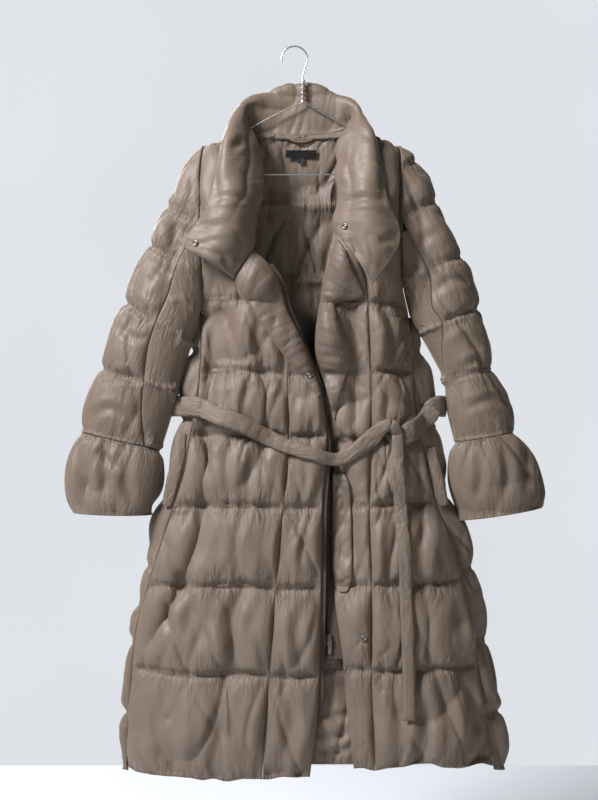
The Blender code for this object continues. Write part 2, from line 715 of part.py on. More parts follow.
# ---------------------------------------------------------------- sleeves and cuffs
def ring_point(outer, inner, depth, angle):
    """Point on a sleeve's ring; angle 0 is its outer end, a quarter turn its front."""
    centre = (outer + inner) / 2
    reach = (inner - outer) / 2
    flat = centre[:, None, :] - reach[:, None, :] * np.cos(angle)[..., None]
    y = SLEEVE_MID_Y - depth[:, None] * np.sin(angle)
    return np.stack((flat[..., 0], y, -flat[..., 1]), -1)


def refined(table, between):
    """Rows of a table with the given number of smooth rows in each gap."""
    return spline(np.array(table, float), between)


def sleeve_seam_angles(table):
    seam = np.arccos(np.clip(-table[:, 5], -1, 1))
    arm = np.arccos(np.clip(-table[:, 6], -1, 1))
    return seam, arm


def sleeve_share(table_rows, side, between):
    """Swell of a sleeve's rows between the rings that carry quilting lines."""
    lines = [0] + SLEEVE_LINES[side] + [len(SLEEVE[side]) - 1]
    place = np.arange(table_rows) / between
    return swell(place, lines)


def build_sleeve(side, parent):
    """Upper and under sleeve, two strips that meet at a front and a back seam."""
    between = 2
    table = refined(SLEEVE[side], between)
    outer = table[:, 0:2]
    inner = table[:, 2:4]
    depth = table[:, 4]
    seam, arm = sleeve_seam_angles(table)
    share = sleeve_share(len(table), side, between)
    radius = np.maximum(np.linalg.norm(inner - outer, axis=1) / 2, 8)
    gap = SEAM_GAP / radius
    columns = 8
    turn = np.linspace(1, -1, columns)[None, :]
    angle = (seam - gap)[:, None] * turn
    grid = ring_point(outer, inner, depth, angle)
    if side == "left":
        grid = grid[:, ::-1]
    flat = rounded(columns, 8)[None, :]
    cap = np.clip(np.arange(len(table)) / 3, 0.2, 1)[:, None]
    puff = share[:, None] * flat * cap
    half = seam_half(columns)
    wall("sleeve_upper_" + side, grid, half + SLEEVE_PUFF * puff,
         half + LINING_PUFF * 0.6 * puff, shell_material(), parent)
    build_under_sleeve(side, (outer, inner, depth, seam + gap, arm, share), parent)


def build_under_sleeve(side, rings, parent):
    """Under sleeve: two halves from the seams to the armhole, joined below the underarm."""
    outer, inner, depth, seam, arm, share = rings
    open_rows = arm < math.pi - 1e-3
    first = int(np.argmax(arm - seam > 0.12))
    half = 4
    t = np.linspace(0, 1, half)[None, :]
    end = np.where(open_rows, arm, math.pi)[:, None]
    front = seam[:, None] + (end - seam[:, None]) * t
    back = 2 * math.pi - front[:, ::-1]
    angle = np.concatenate((front, back), axis=1)[first:]
    grid = ring_point(outer[first:], inner[first:], depth[first:], angle)
    closed = ~open_rows[first:]
    middle = slice(half - 1, half + 1)
    grid[closed, middle] = grid[closed, middle].mean(axis=1, keepdims=True)
    if side == "left":
        grid = grid[:, ::-1]
    flat = np.concatenate((rounded(half, 4), rounded(half, 4)))[None, :]
    puff = share[first:, None] * flat
    seam_join = np.concatenate((grid[:, :half], grid[:, half + 1:]), axis=1)
    normal = grid_normals(seam_join)
    normal = np.concatenate((normal[:, :half], normal[:, half - 1:half], normal[:, half:]), axis=1)
    thin = seam_half(2 * half)
    outer_wall = grid + normal * (thin + SLEEVE_PUFF * 0.5 * puff)[..., None]
    inner_wall = grid - normal * (thin + 1.0 * puff)[..., None]
    points = np.concatenate((outer_wall.reshape(-1, 3), inner_wall.reshape(-1, 3)))
    index = grid_index(grid)
    index[closed, half] = index[closed, half - 1]
    name = "sleeve_under_" + side
    data = mesh_from(name, points, wall_faces(index, open_column=half - 1))
    add_object(name, data, shell_material(), parent)


def build_cuff(side, parent):
    """Wide turned cuff, one ring of padding that flares and closes again to the hem."""
    table = np.array(CUFF[side], float)
    columns = 16
    turn = np.linspace(0, 2 * math.pi, columns, endpoint=False)
    angle = np.repeat(turn[None, :], len(table), axis=0)
    grid = ring_point(table[:, 0:2], table[:, 2:4], table[:, 4], angle)
    if side == "right":
        grid = grid[:, ::-1]
    along = np.linspace(0, 1, len(table))
    share = (np.sin(math.pi * along) ** 0.6)[:, None] * np.ones((1, columns))
    wall("cuff_" + side, grid, SEAM_HALF + 5.0 * share, SEAM_HALF + 5.0 * share,
         shell_material(), parent, wrap=True)


# ---------------------------------------------------------------- collar and lapels
def collar_grid(columns):
    """Collar's middle surface: a curve through the four points of every station."""
    lines = []
    for row in COLLAR:
        points = [(x, y, -drop) for x, y, drop in row]
        lines.append(spread(spline(points, 8), columns))
    return np.array(lines)


def collar_half(rows, columns):
    """Half thickness of the collar: thin at the neck seam, full over the roll, round ends."""
    across = np.sin(math.pi * np.linspace(0.04, 0.97, columns)) ** 0.6
    ends = rounded(rows, 16)[:, None]
    return COLLAR_EDGE_HALF + (COLLAR_HALF - COLLAR_EDGE_HALF) * across[None, :] * ends


def collar_piece():
    """Collar's grid, laid on the fronts, and its half thicknesses, facing out."""
    grid = collar_grid(COLLAR_COLUMNS)
    half = collar_half(len(grid), COLLAR_COLUMNS)
    return laid_on_fronts(grid, half), half


def build_collar(parent):
    """Tall padded collar, one band from end to end, its free edge rolled outwards."""
    grid, half = collar_piece()
    wall("collar", grid, half, half, shell_material(), parent)


def lapel_grid(side, between, columns):
    """Lapel's grid laid on its front, and its half thicknesses, facing out."""
    fold = spline([(*row[0], row[2]) for row in LAPEL[side]], between)
    free = spline([(*row[1], row[2]) for row in LAPEL[side]], between)
    s = np.linspace(0, 1, columns)[None, :]
    x = fold[:, :1] * (1 - s) + free[:, :1] * s
    drop = fold[:, 1:2] * (1 - s) + free[:, 1:2] * s
    half = 1.2 + fold[:, 2:3] * rounded(columns, 3)[None, :]
    grid = np.stack((x, np.full_like(x, -40.0), -drop), -1)
    if side == "left":
        grid = grid[:, ::-1]
        half = half[:, ::-1]
    return laid_on_fronts(grid, half), half


def build_lapel(side, parent):
    """Upper edge of a front, turned out along its fold and lying on the front."""
    grid, half = lapel_grid(side, 2, 5)
    wall("lapel_" + side, grid, half, half, lining_material(), parent)


# ---------------------------------------------------------------- belt, flap and small pieces
def strap(name, path, half_width, half_thick, across, parent, finish):
    """Flat padded strap with an oval section along a path; across is its width direction."""
    along = np.gradient(path, axis=0)
    along /= np.linalg.norm(along, axis=1, keepdims=True)
    wide = across - along * np.sum(across * along, axis=1, keepdims=True)
    wide /= np.linalg.norm(wide, axis=1, keepdims=True)
    thick = np.cross(along, wide)
    angle = np.linspace(0, 2 * math.pi, 8, endpoint=False)
    rings = (path[:, None] + wide[:, None] * (np.cos(angle)[None, :, None]
                                              * half_width[:, None, None])
             + thick[:, None] * (np.sin(angle)[None, :, None] * half_thick[:, None, None]))
    rows, columns = rings.shape[:2]
    faces = [(r * columns + c, r * columns + (c + 1) % columns,
              (r + 1) * columns + (c + 1) % columns, (r + 1) * columns + c)
             for r in range(rows - 1) for c in range(columns)]
    faces.append(tuple(range(columns)))
    faces.append(tuple((rows - 1) * columns + c for c in range(columns)))
    return add_object(name, mesh_from(name, rings, faces), finish, parent)


def belt_path(table):
    """Belt run laid on the fronts: its section clears the cloth all over its width."""
    rows = spline(table, 2)
    across = np.linspace(1, -1, 5)
    thick = BELT_HALF_THICK * np.sqrt(1 - across ** 2)
    half = np.repeat(thick[None, :], len(rows), axis=0)
    step = np.gradient(rows[:, :2], axis=0)
    upright = np.abs(step[:, 1]) > np.abs(step[:, 0])
    x = rows[:, :1] - np.where(upright, rows[:, 2], 0.0)[:, None] * across
    drop = rows[:, 1:2] + np.where(upright, 0.0, rows[:, 2])[:, None] * across
    grid = laid_on_fronts(np.stack((x, np.full_like(x, -30.0), -drop), -1), half, BELT_SLOPE)
    reach = grid[..., 1].min(axis=1)
    return np.stack((rows[:, 0], reach, -rows[:, 1]), -1), rows[:, 2]


def build_belt(parent):
    finish = shell_material()
    flat_up = np.array([[0.0, 0.0, 1.0]])
    path, width = belt_path(BELT_LEFT)
    strap("belt_left", path, width, np.full(len(path), BELT_HALF_THICK), flat_up, parent, finish)
    path, width = belt_path(BELT_RIGHT)
    strap("belt_right", path, width, np.full(len(path), BELT_HALF_THICK), flat_up, parent, finish)
    path, width = belt_path(BELT_END)
    strap("belt_end", path, width, np.full(len(path), BELT_HALF_THICK),
          np.array([[1.0, 0.0, 0.0]]), parent, finish)
    build_belt_back(flat_up, parent, finish)


def build_belt_back(flat_up, parent, finish):
    """Belt behind the coat, from the left run's end to the right run's end."""
    row = spread(spline(back_row(BELT_BACK_DROP), 10), BACK_COLUMNS)
    row = spread(row, 25)
    middle = np.array([row[:, 0].mean(), -10.0])
    step = np.gradient(row, axis=0)
    out = np.stack((-step[:, 1], step[:, 0]), -1)
    out /= np.linalg.norm(out, axis=1, keepdims=True)
    out *= np.sign(np.sum(out * (row - middle), axis=1, keepdims=True))
    puff = BACK_PUFF * swell(BELT_BACK_DROP, BACK_LINES)
    clear = SEAM_HALF + puff + BELT_HALF_THICK + BELT_BACK_GAP
    path = row + out * clear
    path = path[2:-2]
    path = np.column_stack((path, np.full(len(path), -BELT_BACK_DROP)))
    strap("belt_back", path, np.full(len(path), BELT_BACK_HALF),
          np.full(len(path), BELT_HALF_THICK), flat_up, parent, finish)


def build_flap(parent):
    """Narrow padded wind flap on the right front's edge, below the belt."""
    rows = spline(FLAP, 2)
    s = np.linspace(0, 1, 5)[None, :]
    x = rows[:, 1:2] * (1 - s) + rows[:, 2:3] * s
    drop = np.repeat(rows[:, :1], 5, axis=1)
    half = 1.5 + (FLAP_HALF - 1.5) * rounded(5, 3)[None, :] * np.ones((len(rows), 1))
    grid = laid_on_fronts(np.stack((x, np.full_like(x, -30.0), -drop), -1), half)
    wall("wind_flap", grid, half, half, shell_material(), parent)


def build_underlap(parent):
    """Padded inner end of the right front, seen between the two edges below the zip."""
    rows = spline(UNDERLAP, 4)
    s = np.linspace(0, 1, 7)[None, :]
    x = rows[:, 1:2] * (1 - s) + rows[:, 2:3] * s
    drop = np.repeat(rows[:, :1], 7, axis=1)
    y = smooth(FRONT_EDGE["right"], 2, drop) + UNDERLAP_BEHIND
    share = swell(rows[:, 0], UNDERLAP_LINES)[:, None] * rounded(7, 3)[None, :]
    half = 1.5 + (UNDERLAP_HALF - 1.5) * share
    wall("underlap", np.stack((x, y, -drop), -1), half, half, shell_material(), parent)


def tape_y(side, drop):
    """Zip tapes lie just behind the inner face of the fronts' edges."""
    return smooth(FRONT_EDGE[side], 2, drop) + TAPE_BEHIND[side]


def build_tape(side, rows, far_x, parent):
    """Zip tape behind a front's free edge, standing past it into the opening as far as far_x."""
    near_x = smooth(FRONT_EDGE[side], 1, rows) + side_sign(side) * TAPE_INSET
    s = np.linspace(0, 1, 3)[None, :]
    x = near_x[:, None] * (1 - s) + far_x[:, None] * s
    y = np.repeat(tape_y(side, rows)[:, None], 3, axis=1)
    drop = np.repeat(rows[:, None], 3, axis=1)
    grid = np.stack((x, y, -drop), -1)
    half = np.full(x.shape, TAPE_THICK / 2)
    wall("zip_tape_" + side, grid if side == "left" else grid[:, ::-1], half, half,
         tape_material(), parent)


def build_zip(parent):
    """Two tapes, the slider at rest on the right one, and its pull hung on a pivot."""
    rows = np.linspace(*TAPE_LEFT_SPAN, 17)
    far_x = smooth(FRONT_EDGE["left"], 1, rows) + smooth(TAPE_REACH, 1, rows)
    build_tape("left", rows, far_x, parent)
    rows = np.linspace(*TAPE_RIGHT_SPAN, 14)
    build_tape("right", rows, np.full(len(rows), TAPE_RIGHT_X), parent)
    y = float(tape_y("right", SLIDER_DROP)) - TAPE_THICK / 2 - SLIDER_CLEAR - SLIDER_SIZE[1] / 2
    build_box("zip_slider", (SLIDER_X, y, -SLIDER_DROP), SLIDER_SIZE, brass_material(), parent, 1)
    pivot = bpy.data.objects.new("pull_pivot", None)
    bpy.context.scene.collection.objects.link(pivot)
    pivot.parent = parent
    pivot_y = y - SLIDER_SIZE[1] / 2 - PULL_CLEAR - PULL_THICK / 2
    pivot.location = np.array((SLIDER_X, pivot_y, -PIVOT_DROP)) * MM
    build_box("zip_pull", (0, 0, PULL_TOP - PULL_LENGTH / 2),
              (PULL_WIDTH, PULL_THICK, PULL_LENGTH), brass_material(), pivot, 0.4)


def box_points(centre, size):
    corners = np.array([(x, y, z) for x in (-1, 1) for y in (-1, 1) for z in (-1, 1)], float)
    return centre + corners * np.array(size) / 2


BOX_FACES = [(0, 1, 3, 2), (4, 6, 7, 5), (0, 4, 5, 1), (2, 3, 7, 6), (0, 2, 6, 4), (1, 5, 7, 3)]


def build_box(name, centre, size, finish, parent, bevel):
    """Small hard or flat piece: a box with bevelled edges."""
    data = mesh_from(name, box_points(np.array(centre, float), size), BOX_FACES)
    item = add_object(name, data, finish, parent)
    soften = item.modifiers.new("edges", "BEVEL")
    soften.width = bevel * MM
    soften.segments = 2
    return item


def build_snap(name, grid, half, parent):
    """Round snap on a piece's outer face, on its foremost place at the given point."""
    x, drop = SNAPS[name]
    face = finer(grid + grid_normals(grid) * half[..., None], 8)
    normal = grid_normals(face)
    away = np.hypot(face[..., 0] - x, face[..., 2] + drop) + 0.02 * face[..., 1]
    away = np.where(normal[..., 1] < -0.05, away, 1e3)
    place = np.unravel_index(np.argmin(away), away.shape)
    facing = normal[place]
    centre = face[place] + facing * (SNAP_LIFT + SNAP_THICK / 2)
    side_way = np.cross(facing, (0, 0, 1))
    side_way /= np.linalg.norm(side_way)
    up = np.cross(side_way, facing)
    turn = np.linspace(0, 2 * math.pi, 12, endpoint=False)
    ring = np.cos(turn)[:, None] * side_way + np.sin(turn)[:, None] * up
    points = np.concatenate((centre + ring * SNAP_RADIUS + facing * SNAP_THICK / 2,
                             centre + ring * SNAP_RADIUS - facing * SNAP_THICK / 2))
    faces = [tuple(range(12)), tuple(range(23, 11, -1))]
    faces += [(k, 12 + k, 12 + (k + 1) % 12, (k + 1) % 12) for k in range(12)]
    add_object("snap_" + name, mesh_from(name, points, faces), steel_material(), parent)


def build_snaps(parent):
    grid, half = collar_piece()
    build_snap("collar_left", grid, half, parent)
    build_snap("collar_right", grid, half, parent)
    grid, half = lapel_grid("left", 2, 5)
    build_snap("lapel_left", grid, half, parent)
    rows, grid, outer, inner = placket_piece("right")
    build_snap("front_right", grid, outer, parent)


def lining_face(x, drop):
    """Y of the back's inner face along its middle."""
    row = row_of(x, drop)
    share = swell(row, BACK_LINES)
    return smooth(BACK_DEPTH, 1, row) - SEAM_HALF - LINING_PUFF * share


def build_label(name, size, lift, parent):
    """Bare woven label sewn inside the back neck."""
    x = size["centre"][0] + np.linspace(-0.5, 0.5, 3)[None, :] * size["width"]
    drop = size["centre"][1] + np.linspace(-0.5, 0.5, 3)[:, None] * size["height"]
    x, drop = np.broadcast_arrays(x, drop)
    y = lining_face(x, drop) - lift - LABEL_THICK / 2
    half = np.full(x.shape, LABEL_THICK / 2)
    wall(name, np.stack((x, y, -drop), -1), half, half, trim_material(), parent)


def build_hang_loop(parent):
    """Narrow fabric loop under the back neck seam."""
    rows = spline(HANG_LOOP, 2)
    y = lining_face(rows[:, 0], rows[:, 1]) - 0.6
    path = np.stack((rows[:, 0], y, -rows[:, 1]), -1)
    strap("hang_loop", path, np.full(len(path), 2.4), np.full(len(path), 0.9),
          np.array([[0.0, 0.0, 1.0]]), parent, shell_material())


def build_pocket_welt(side, parent):
    """Padded welt of the pocket let into a side seam."""
    rows = spline(POCKET_WELT[side], 2)
    path = np.stack((rows[:, 0], rows[:, 1], -rows[:, 2]), -1)
    along = np.linspace(0, 1, len(path))
    taper = 0.55 + 0.45 * np.sin(math.pi * along) ** 0.5
    strap("pocket_welt_" + side, path, WELT_HALF_WIDTH * taper, WELT_HALF_THICK * taper,
          np.array([[1.0, 0.0, 0.0]]), parent, shell_material())


def hook_points():
    turn = np.radians(np.linspace(192, -28, 16))
    return [(HOOK_CENTRE[0] + HOOK_RADIUS * math.cos(a), 0.0,
             HOOK_CENTRE[1] - HOOK_RADIUS * math.sin(a)) for a in turn]


def twist_points():
    """Wire's end wound up round the neck."""
    count = 8 * TWIST_TURNS
    turn = np.linspace(0, 2 * math.pi * TWIST_TURNS, count + 1)
    drop = np.linspace(TWIST_BOTTOM, TWIST_TOP, count + 1)
    return [(NECK_X + TWIST_RADIUS * math.cos(a), -TWIST_RADIUS * math.sin(a), d)
            for a, d in zip(turn, drop)]


def hanger_path():
    """Centre line from the hook's tip down the neck, round the frame and up the twist."""
    down = [(17.5, 0, 43), (14.6, 0, 53), (NECK_X, 0, 62), (NECK_X, 0, 80), (NECK_X, 0, 98)]
    left = [(11, 0, 104), (2, 0, 108.5), (-35, 0, 125), (-80, 0, 149), (-104, 0, 162.5),
            (-150, 0, 183.5)]
    left_end = [(ARM_LEFT_END + 5, 0, 189), (ARM_LEFT_END, 0, 197), (ARM_LEFT_END, 0, 218),
                (ARM_LEFT_END + 6, 0, 231), (ARM_LEFT_END + 20, 0, BAR_DROP)]
    bar = [(-60, 0, BAR_DROP), (12, 0, BAR_DROP), (90, 0, BAR_DROP)]
    right_end = [(ARM_RIGHT_END - 20, 0, BAR_DROP), (ARM_RIGHT_END - 6, 0, 231),
                 (ARM_RIGHT_END, 0, 218), (ARM_RIGHT_END, 0, 197), (ARM_RIGHT_END - 5, 0, 189)]
    right = [(173, 0, 183.5), (124, 0, 162.5), (96, 0, 147.5), (62, 0, 127), (32, 0, 111),
             (22, 0, 104)]
    return hook_points() + down + left + left_end + bar + right_end + right + twist_points()


def build_hanger(parent):
    """Wire hanger: one steel wire, hooked at one end and twisted round its neck at the other."""
    points = spline(hanger_path(), 2)
    curve = bpy.data.curves.new("hanger_wire", "CURVE")
    curve.dimensions = "3D"
    curve.bevel_depth = WIRE_RADIUS * MM
    curve.bevel_resolution = 2
    curve.use_fill_caps = True
    line = curve.splines.new("POLY")
    line.points.add(len(points) - 1)
    for place, (x, y, drop) in zip(line.points, points):
        place.co = (x * MM, y * MM, -drop * MM, 1.0)
    item = bpy.data.objects.new("hanger_wire", curve)
    bpy.context.scene.collection.objects.link(item)
    curve.materials.append(steel_material())
    item.parent = parent


def main():
    for item in list(bpy.data.objects):
        bpy.data.objects.remove(item)
    coat = bpy.data.objects.new("coat", None)
    bpy.context.scene.collection.objects.link(coat)
    build_back(coat)
    for side in ("left", "right"):
        build_front(side, coat)
        build_placket(side, coat)
        build_sleeve(side, coat)
        build_cuff(side, coat)
        build_lapel(side, coat)
        build_pocket_welt(side, coat)
    build_collar(coat)
    build_belt(coat)
    build_flap(coat)
    build_underlap(coat)
    build_zip(coat)
    build_snaps(coat)
    build_label("neck_label", LABEL, 0.4, coat)
    build_label("size_tab", SIZE_TAB, 0.4, coat)
    build_hang_loop(coat)
    build_hanger(coat)


main()
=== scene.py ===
import math

import bmesh
import bpy
import numpy as np
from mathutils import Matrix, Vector


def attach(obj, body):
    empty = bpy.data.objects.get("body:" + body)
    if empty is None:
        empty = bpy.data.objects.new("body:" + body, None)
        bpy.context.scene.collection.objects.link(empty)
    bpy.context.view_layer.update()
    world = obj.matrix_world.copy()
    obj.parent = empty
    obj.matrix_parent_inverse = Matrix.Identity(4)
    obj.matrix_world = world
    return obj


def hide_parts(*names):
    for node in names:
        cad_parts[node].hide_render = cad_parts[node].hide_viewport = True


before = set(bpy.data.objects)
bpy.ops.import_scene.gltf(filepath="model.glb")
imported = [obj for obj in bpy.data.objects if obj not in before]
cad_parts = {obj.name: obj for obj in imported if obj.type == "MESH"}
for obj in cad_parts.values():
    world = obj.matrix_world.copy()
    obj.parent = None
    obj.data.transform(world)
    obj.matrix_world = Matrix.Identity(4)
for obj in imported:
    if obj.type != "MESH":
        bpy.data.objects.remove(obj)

bl_info = {
    "name": "Long puffer coat on a wire hanger",
    "version": (1, 0, 0),
    "blender": (4, 5, 0),
    "location": "View3D > Sidebar > Coat",
    "description": "Builds the cloth, belt, zip, snaps, label and hanger of a long puffer coat",
    "category": "Object",
}

# Lengths in the tables are millimetres; "drop" is the distance below the hook's underside.
MM = 0.001

# Cloth: thickness on a stitched line, swell of the down between lines, room between pieces.
SEAM_HALF = 1.5
SEAM_GAP = 0.4
SIDE_GAP = 1.0
FRONT_PUFF = 12.0
BACK_PUFF = 11.0
SLEEVE_PUFF = 8.0
LINING_PUFF = 5.0
SHOULDER_GAP_FRONT = 0.9
SHOULDER_GAP_BACK = 1.6
LAY_GAP = 1.9
EDGE_MARGIN = 3.0
EDGE_SLOPE = 1.6
BELT_SLOPE = 0.3
NEAR_FACE = 4.0

# Shoulder line and armholes.
NECK_DROP = 153.0
SHOULDER_ROUND = 75.0
ARM_DEPTH_FRONT = 46.0
ARM_DEPTH_BACK = 22.0
TOP_LINE = [  # x, drop of the shoulder seams and the back neck seam
    (-171, 186), (-102, 153), (-60, 163), (9, 167), (78, 163), (120, 153), (193, 186)]
ARMHOLE = {  # drop, x
    "left": [(186, -169), (260, -170), (340, -170), (430, -168), (500, -171)],
    "right": [(186, 193), (240, 187), (340, 187), (430, 193), (504, 210)]}

# Depth of the body: most forward line of the fronts and line of the back (drop, y).
FRONT_DEPTH = [(153, -48), (250, -58), (400, -62), (600, -60), (700, -56), (850, -64),
               (1000, -70), (1150, -76), (1350, -80)]
BACK_DEPTH = [(153, 11), (240, 17), (300, 20), (430, 26), (700, 28), (1000, 38), (1350, 44)]

# Free edge of each front, which above the waist is its neck seam and then its fold (drop, x, y).
FRONT_EDGE = {
    "left": [(153, -102, -44), (198, -95, -46), (274, -89, -50), (352, -85, -54),
             (379, -80, -56), (403, -54, -58), (439, -29, -60), (499, -11, -60), (563, 20, -60),
             (646, 49, -60), (680, 54, -60), (729, 58, -60), (855, 49, -62), (999, 47, -66),
             (1196, 42, -72), (1334, 27, -76)],
    "right": [(153, 120, -44), (198, 105, -46), (274, 95, -50), (338, 82, -52), (361, 75, -52),
              (411, 58, -50), (470, 47, -46), (524, 40, -40), (591, 38, -36), (657, 55, -32),
              (730, 64, -30), (777, 70, -30), (960, 69, -32), (1019, 73, -50), (1126, 87, -66),
              (1197, 92, -70), (1318, 106, -74)]}
# Stitched line that parts each front from its placket (drop, x).
PLACKET_SEAM = {
    "left": [(499, -11), (588, -14), (733, -11), (851, -21), (995, -34), (1141, -45),
             (1334, -59)],
    "right": [(153, 120), (198, 112), (275, 106), (358, 118), (470, 132), (700, 139),
              (851, 135), (989, 139), (1141, 138), (1318, 145)]}
# Side seams, a little to the front of the body's widest line (drop, x, y).
SIDE_SEAM = {
    "left": [(500, -171, 0), (537, -172, -15), (603, -174, -30), (657, -179, -36),
             (730, -192, -40), (784, -201, -42), (852, -221, -42), (925, -246, -40),
             (998, -269, -38), (1060, -287, -32), (1135, -298, -24), (1249, -305, -16),
             (1334, -308, -12)],
    "right": [(504, 210, 0), (537, 214, -15), (603, 217, -28), (662, 219, -32),
              (722, 230, -36), (785, 242, -38), (852, 260, -38), (925, 291, -38),
              (999, 307, -36), (1078, 324, -32), (1158, 337, -28), (1245, 350, -24),
              (1334, 366, -20)]}
# Widest line of the body (drop, x, y).
SIDE_EXTREME = {
    "left": [(500, -172, 2), (536, -179, 0), (603, -192, -2), (657, -199, -2),
             (723, -209, -2), (787, -222, -2), (855, -245, -2), (929, -264, -2),
             (1004, -277, -2), (1083, -295, -2), (1163, -303, -2), (1250, -309, -2),
             (1354, -311, -2)],
    "right": [(504, 211, 2), (536, 217, 0), (570, 230, -2), (603, 243, -2), (657, 251, -2),
              (723, 255, -2), (787, 262, -2), (855, 280, -2), (890, 300, -2), (929, 314, -2),
              (1004, 333, -2), (1083, 349, -2), (1163, 361, -2), (1250, 374, -2),
              (1354, 382, -2)]}

# Quilting lines (drop) and the hem.
FRONT_LINES = {"left": [153, 478, 606, 721, 849, 993, 1150, 1334],
               "right": [153, 476, 602, 726, 847, 990, 1144, 1318]}
BACK_LINES = [153, 290, 432, 563, 694, 828, 965, 1105, 1236, 1344]

# Largest folds of the fronts: a trough's line (drop, x), its depth and half width.
FOLDS = {
    "left": [
        {"line": [(500, -150), (600, -153), (690, -160), (850, -165), (930, -183),
                  (995, -208), (1120, -265)], "depth": 17, "half": 15},
        {"line": [(880, -105), (950, -98), (1100, -112), (1300, -130)], "depth": 7, "half": 18},
        {"line": [(560, -64), (640, -52), (830, -62)], "depth": 6, "half": 14}],
    "right": [
        {"line": [(760, 214), (850, 222), (930, 226)], "depth": 10, "half": 16},
        {"line": [(990, 236), (1080, 240), (1160, 248)], "depth": 8, "half": 18},
        {"line": [(520, 196), (600, 192), (660, 190)], "depth": 6, "half": 14}]}

# Sleeves: outline of each ring in the front view, its depth, and where its two seams lie.
# outer and inner ends of the ring (x, drop), half depth, seam and armhole as a share of the
# half width from the ring's middle (-1 at the outer end, +1 at the inner end).
SLEEVE = {
    "left": [
        # outer_x outer_drop inner_x inner_drop depth seam  armhole
        (-171, 187, -112, 206, 22, -0.93, -0.93),
        (-203, 223, -120, 262, 36, -0.30, -0.30),
        (-240, 298, -128, 350, 43, 0.18, 0.18),
        (-273, 369, -150, 440, 46, 0.00, 0.62),
        (-292, 423, -176, 505, 46, 0.06, 0.97),
        (-314, 481, -193, 550, 46, 0.02, 1.0),
        (-338, 540, -204, 590, 45, 0.05, 1.0),
        (-361, 600, -218, 640, 44, 0.21, 1.0),
        (-378, 655, -232, 690, 43, 0.36, 1.0),
        (-394, 714, -250, 747, 41, 0.66, 1.0)],
    "right": [
        (194, 187, 135, 206, 22, -0.93, -0.93),
        (222, 215, 140, 262, 36, -0.35, -0.35),
        (264, 289, 146, 350, 43, 0.17, 0.17),
        (313, 392, 196, 440, 46, 0.20, 0.90),
        (326, 440, 215, 506, 46, 0.38, 0.97),
        (341, 488, 233, 533, 46, 0.34, 1.0),
        (355, 545, 258, 578, 45, 0.76, 1.0),
        (369, 600, 279, 622, 44, 0.92, 1.0),
        (384, 655, 282, 668, 43, 0.95, 1.0),
        (402, 716, 297, 733, 41, 0.95, 1.0)]}
SLEEVE_LINES = {"left": [2, 3, 5, 7], "right": [1, 2, 3, 5, 7]}
CUFF = {
    "left": [
        # outer_x outer_drop inner_x inner_drop depth
        (-394, 716, -250, 749, 41),
        (-408, 740, -242, 766, 50),
        (-417, 782, -246, 796, 55),
        (-416, 832, -256, 838, 52),
        (-409, 864, -264, 868, 49)],
    "right": [
        (402, 717.5, 297, 734.5, 41),
        (428, 742, 288, 758, 48),
        (451, 784, 286, 804, 52),
        (460, 826, 292, 848, 49),
        (457, 854, 298, 879, 46)]}
SLEEVE_MID_Y = -10.0

# Collar: neck seam, inner roll, crest and free edge of each station (x, y, drop), from the
# wearer's right end round the back of the neck to the left end.
COLLAR = [
    ((-113, -74, 440), (-117, -82, 434), (-150, -96, 412), (-196, -84, 386)),
    ((-75, -60, 378), (-90, -76, 382), (-130, -102, 368), (-188, -84, 358)),
    ((-80, -54, 340), (-75, -66, 340), (-118, -102, 330), (-172, -80, 336)),
    ((-83, -50, 284), (-66, -52, 284), (-110, -96, 288), (-151, -78, 294)),
    ((-86, -46, 240), (-64, -38, 238), (-120, -84, 228), (-141, -68, 238)),
    ((-91, -36, 188), (-77, -28, 178), (-112, -64, 168), (-129, -60, 188)),
    ((-103, 2, 144), (-94, 8, 132), (-95, -11, 113), (-112, 2, 129)),
    ((-64, 13, 157), (-63, 18, 144), (-62, 13, 92), (-78, 38, 112)),
    ((-26, 14, 162), (-26, 19, 142), (-28, 17, 76), (-30, 45, 88)),
    ((9, 14, 164), (9, 19, 142), (9, 18, 70), (9, 48, 82)),
    ((44, 14, 162), (44, 19, 142), (48, 17, 76), (50, 45, 88)),
    ((82, 13, 157), (79, 18, 144), (82, 13, 94), (92, 38, 110)),
    ((120, 2, 144), (111, 8, 132), (113, -13, 115), (124, 0, 129)),
    ((101, -36, 188), (86, -28, 180), (130, -62, 170), (145, -58, 186)),
    ((94, -46, 240), (79, -38, 242), (134, -82, 230), (155, -66, 240)),
    ((89, -50, 284), (82, -54, 290), (126, -98, 294), (165, -78, 296)),
    ((77, -52, 330), (76, -64, 332), (132, -102, 334), (187, -86, 352)),
    ((83, -60, 362), (92, -76, 368), (138, -102, 376), (180, -90, 392)),
    ((97, -70, 386), (104, -84, 394), (120, -98, 420), (136, -92, 452))]
COLLAR_HALF = 9.0
COLLAR_EDGE_HALF = 1.6

# Turned-out upper edges of the fronts: fold and free edge (x, drop) and half thickness.
LAPEL = {
    "left": [
        ((-76, 389), (-108, 443), 4),
        ((-58, 402), (-97, 466), 9),
        ((-32, 436), (-80, 490), 9),
        ((-14, 494), (-58, 522), 6),
        ((3, 529), (-33, 558), 9),
        ((18, 563), (-11, 586), 8),
        ((33, 607), (17, 617), 5),
        ((48, 645), (42, 652), 3)],
    "right": [
        ((77, 366), (90, 388), 3),
        ((66, 394), (102, 420), 6),
        ((57, 424), (118, 450), 7),
        ((51, 450), (122, 470), 7),
        ((47, 474), (74, 482), 5),
        ((41, 522), (83, 530), 6),
        ((38, 566), (100, 568), 3),
        ((43, 592), (100, 594), 2),
        ((54, 628), (88, 624), 2),
        ((63, 658), (77, 666), 2),
        ((67, 686), (72, 692), 1)]}

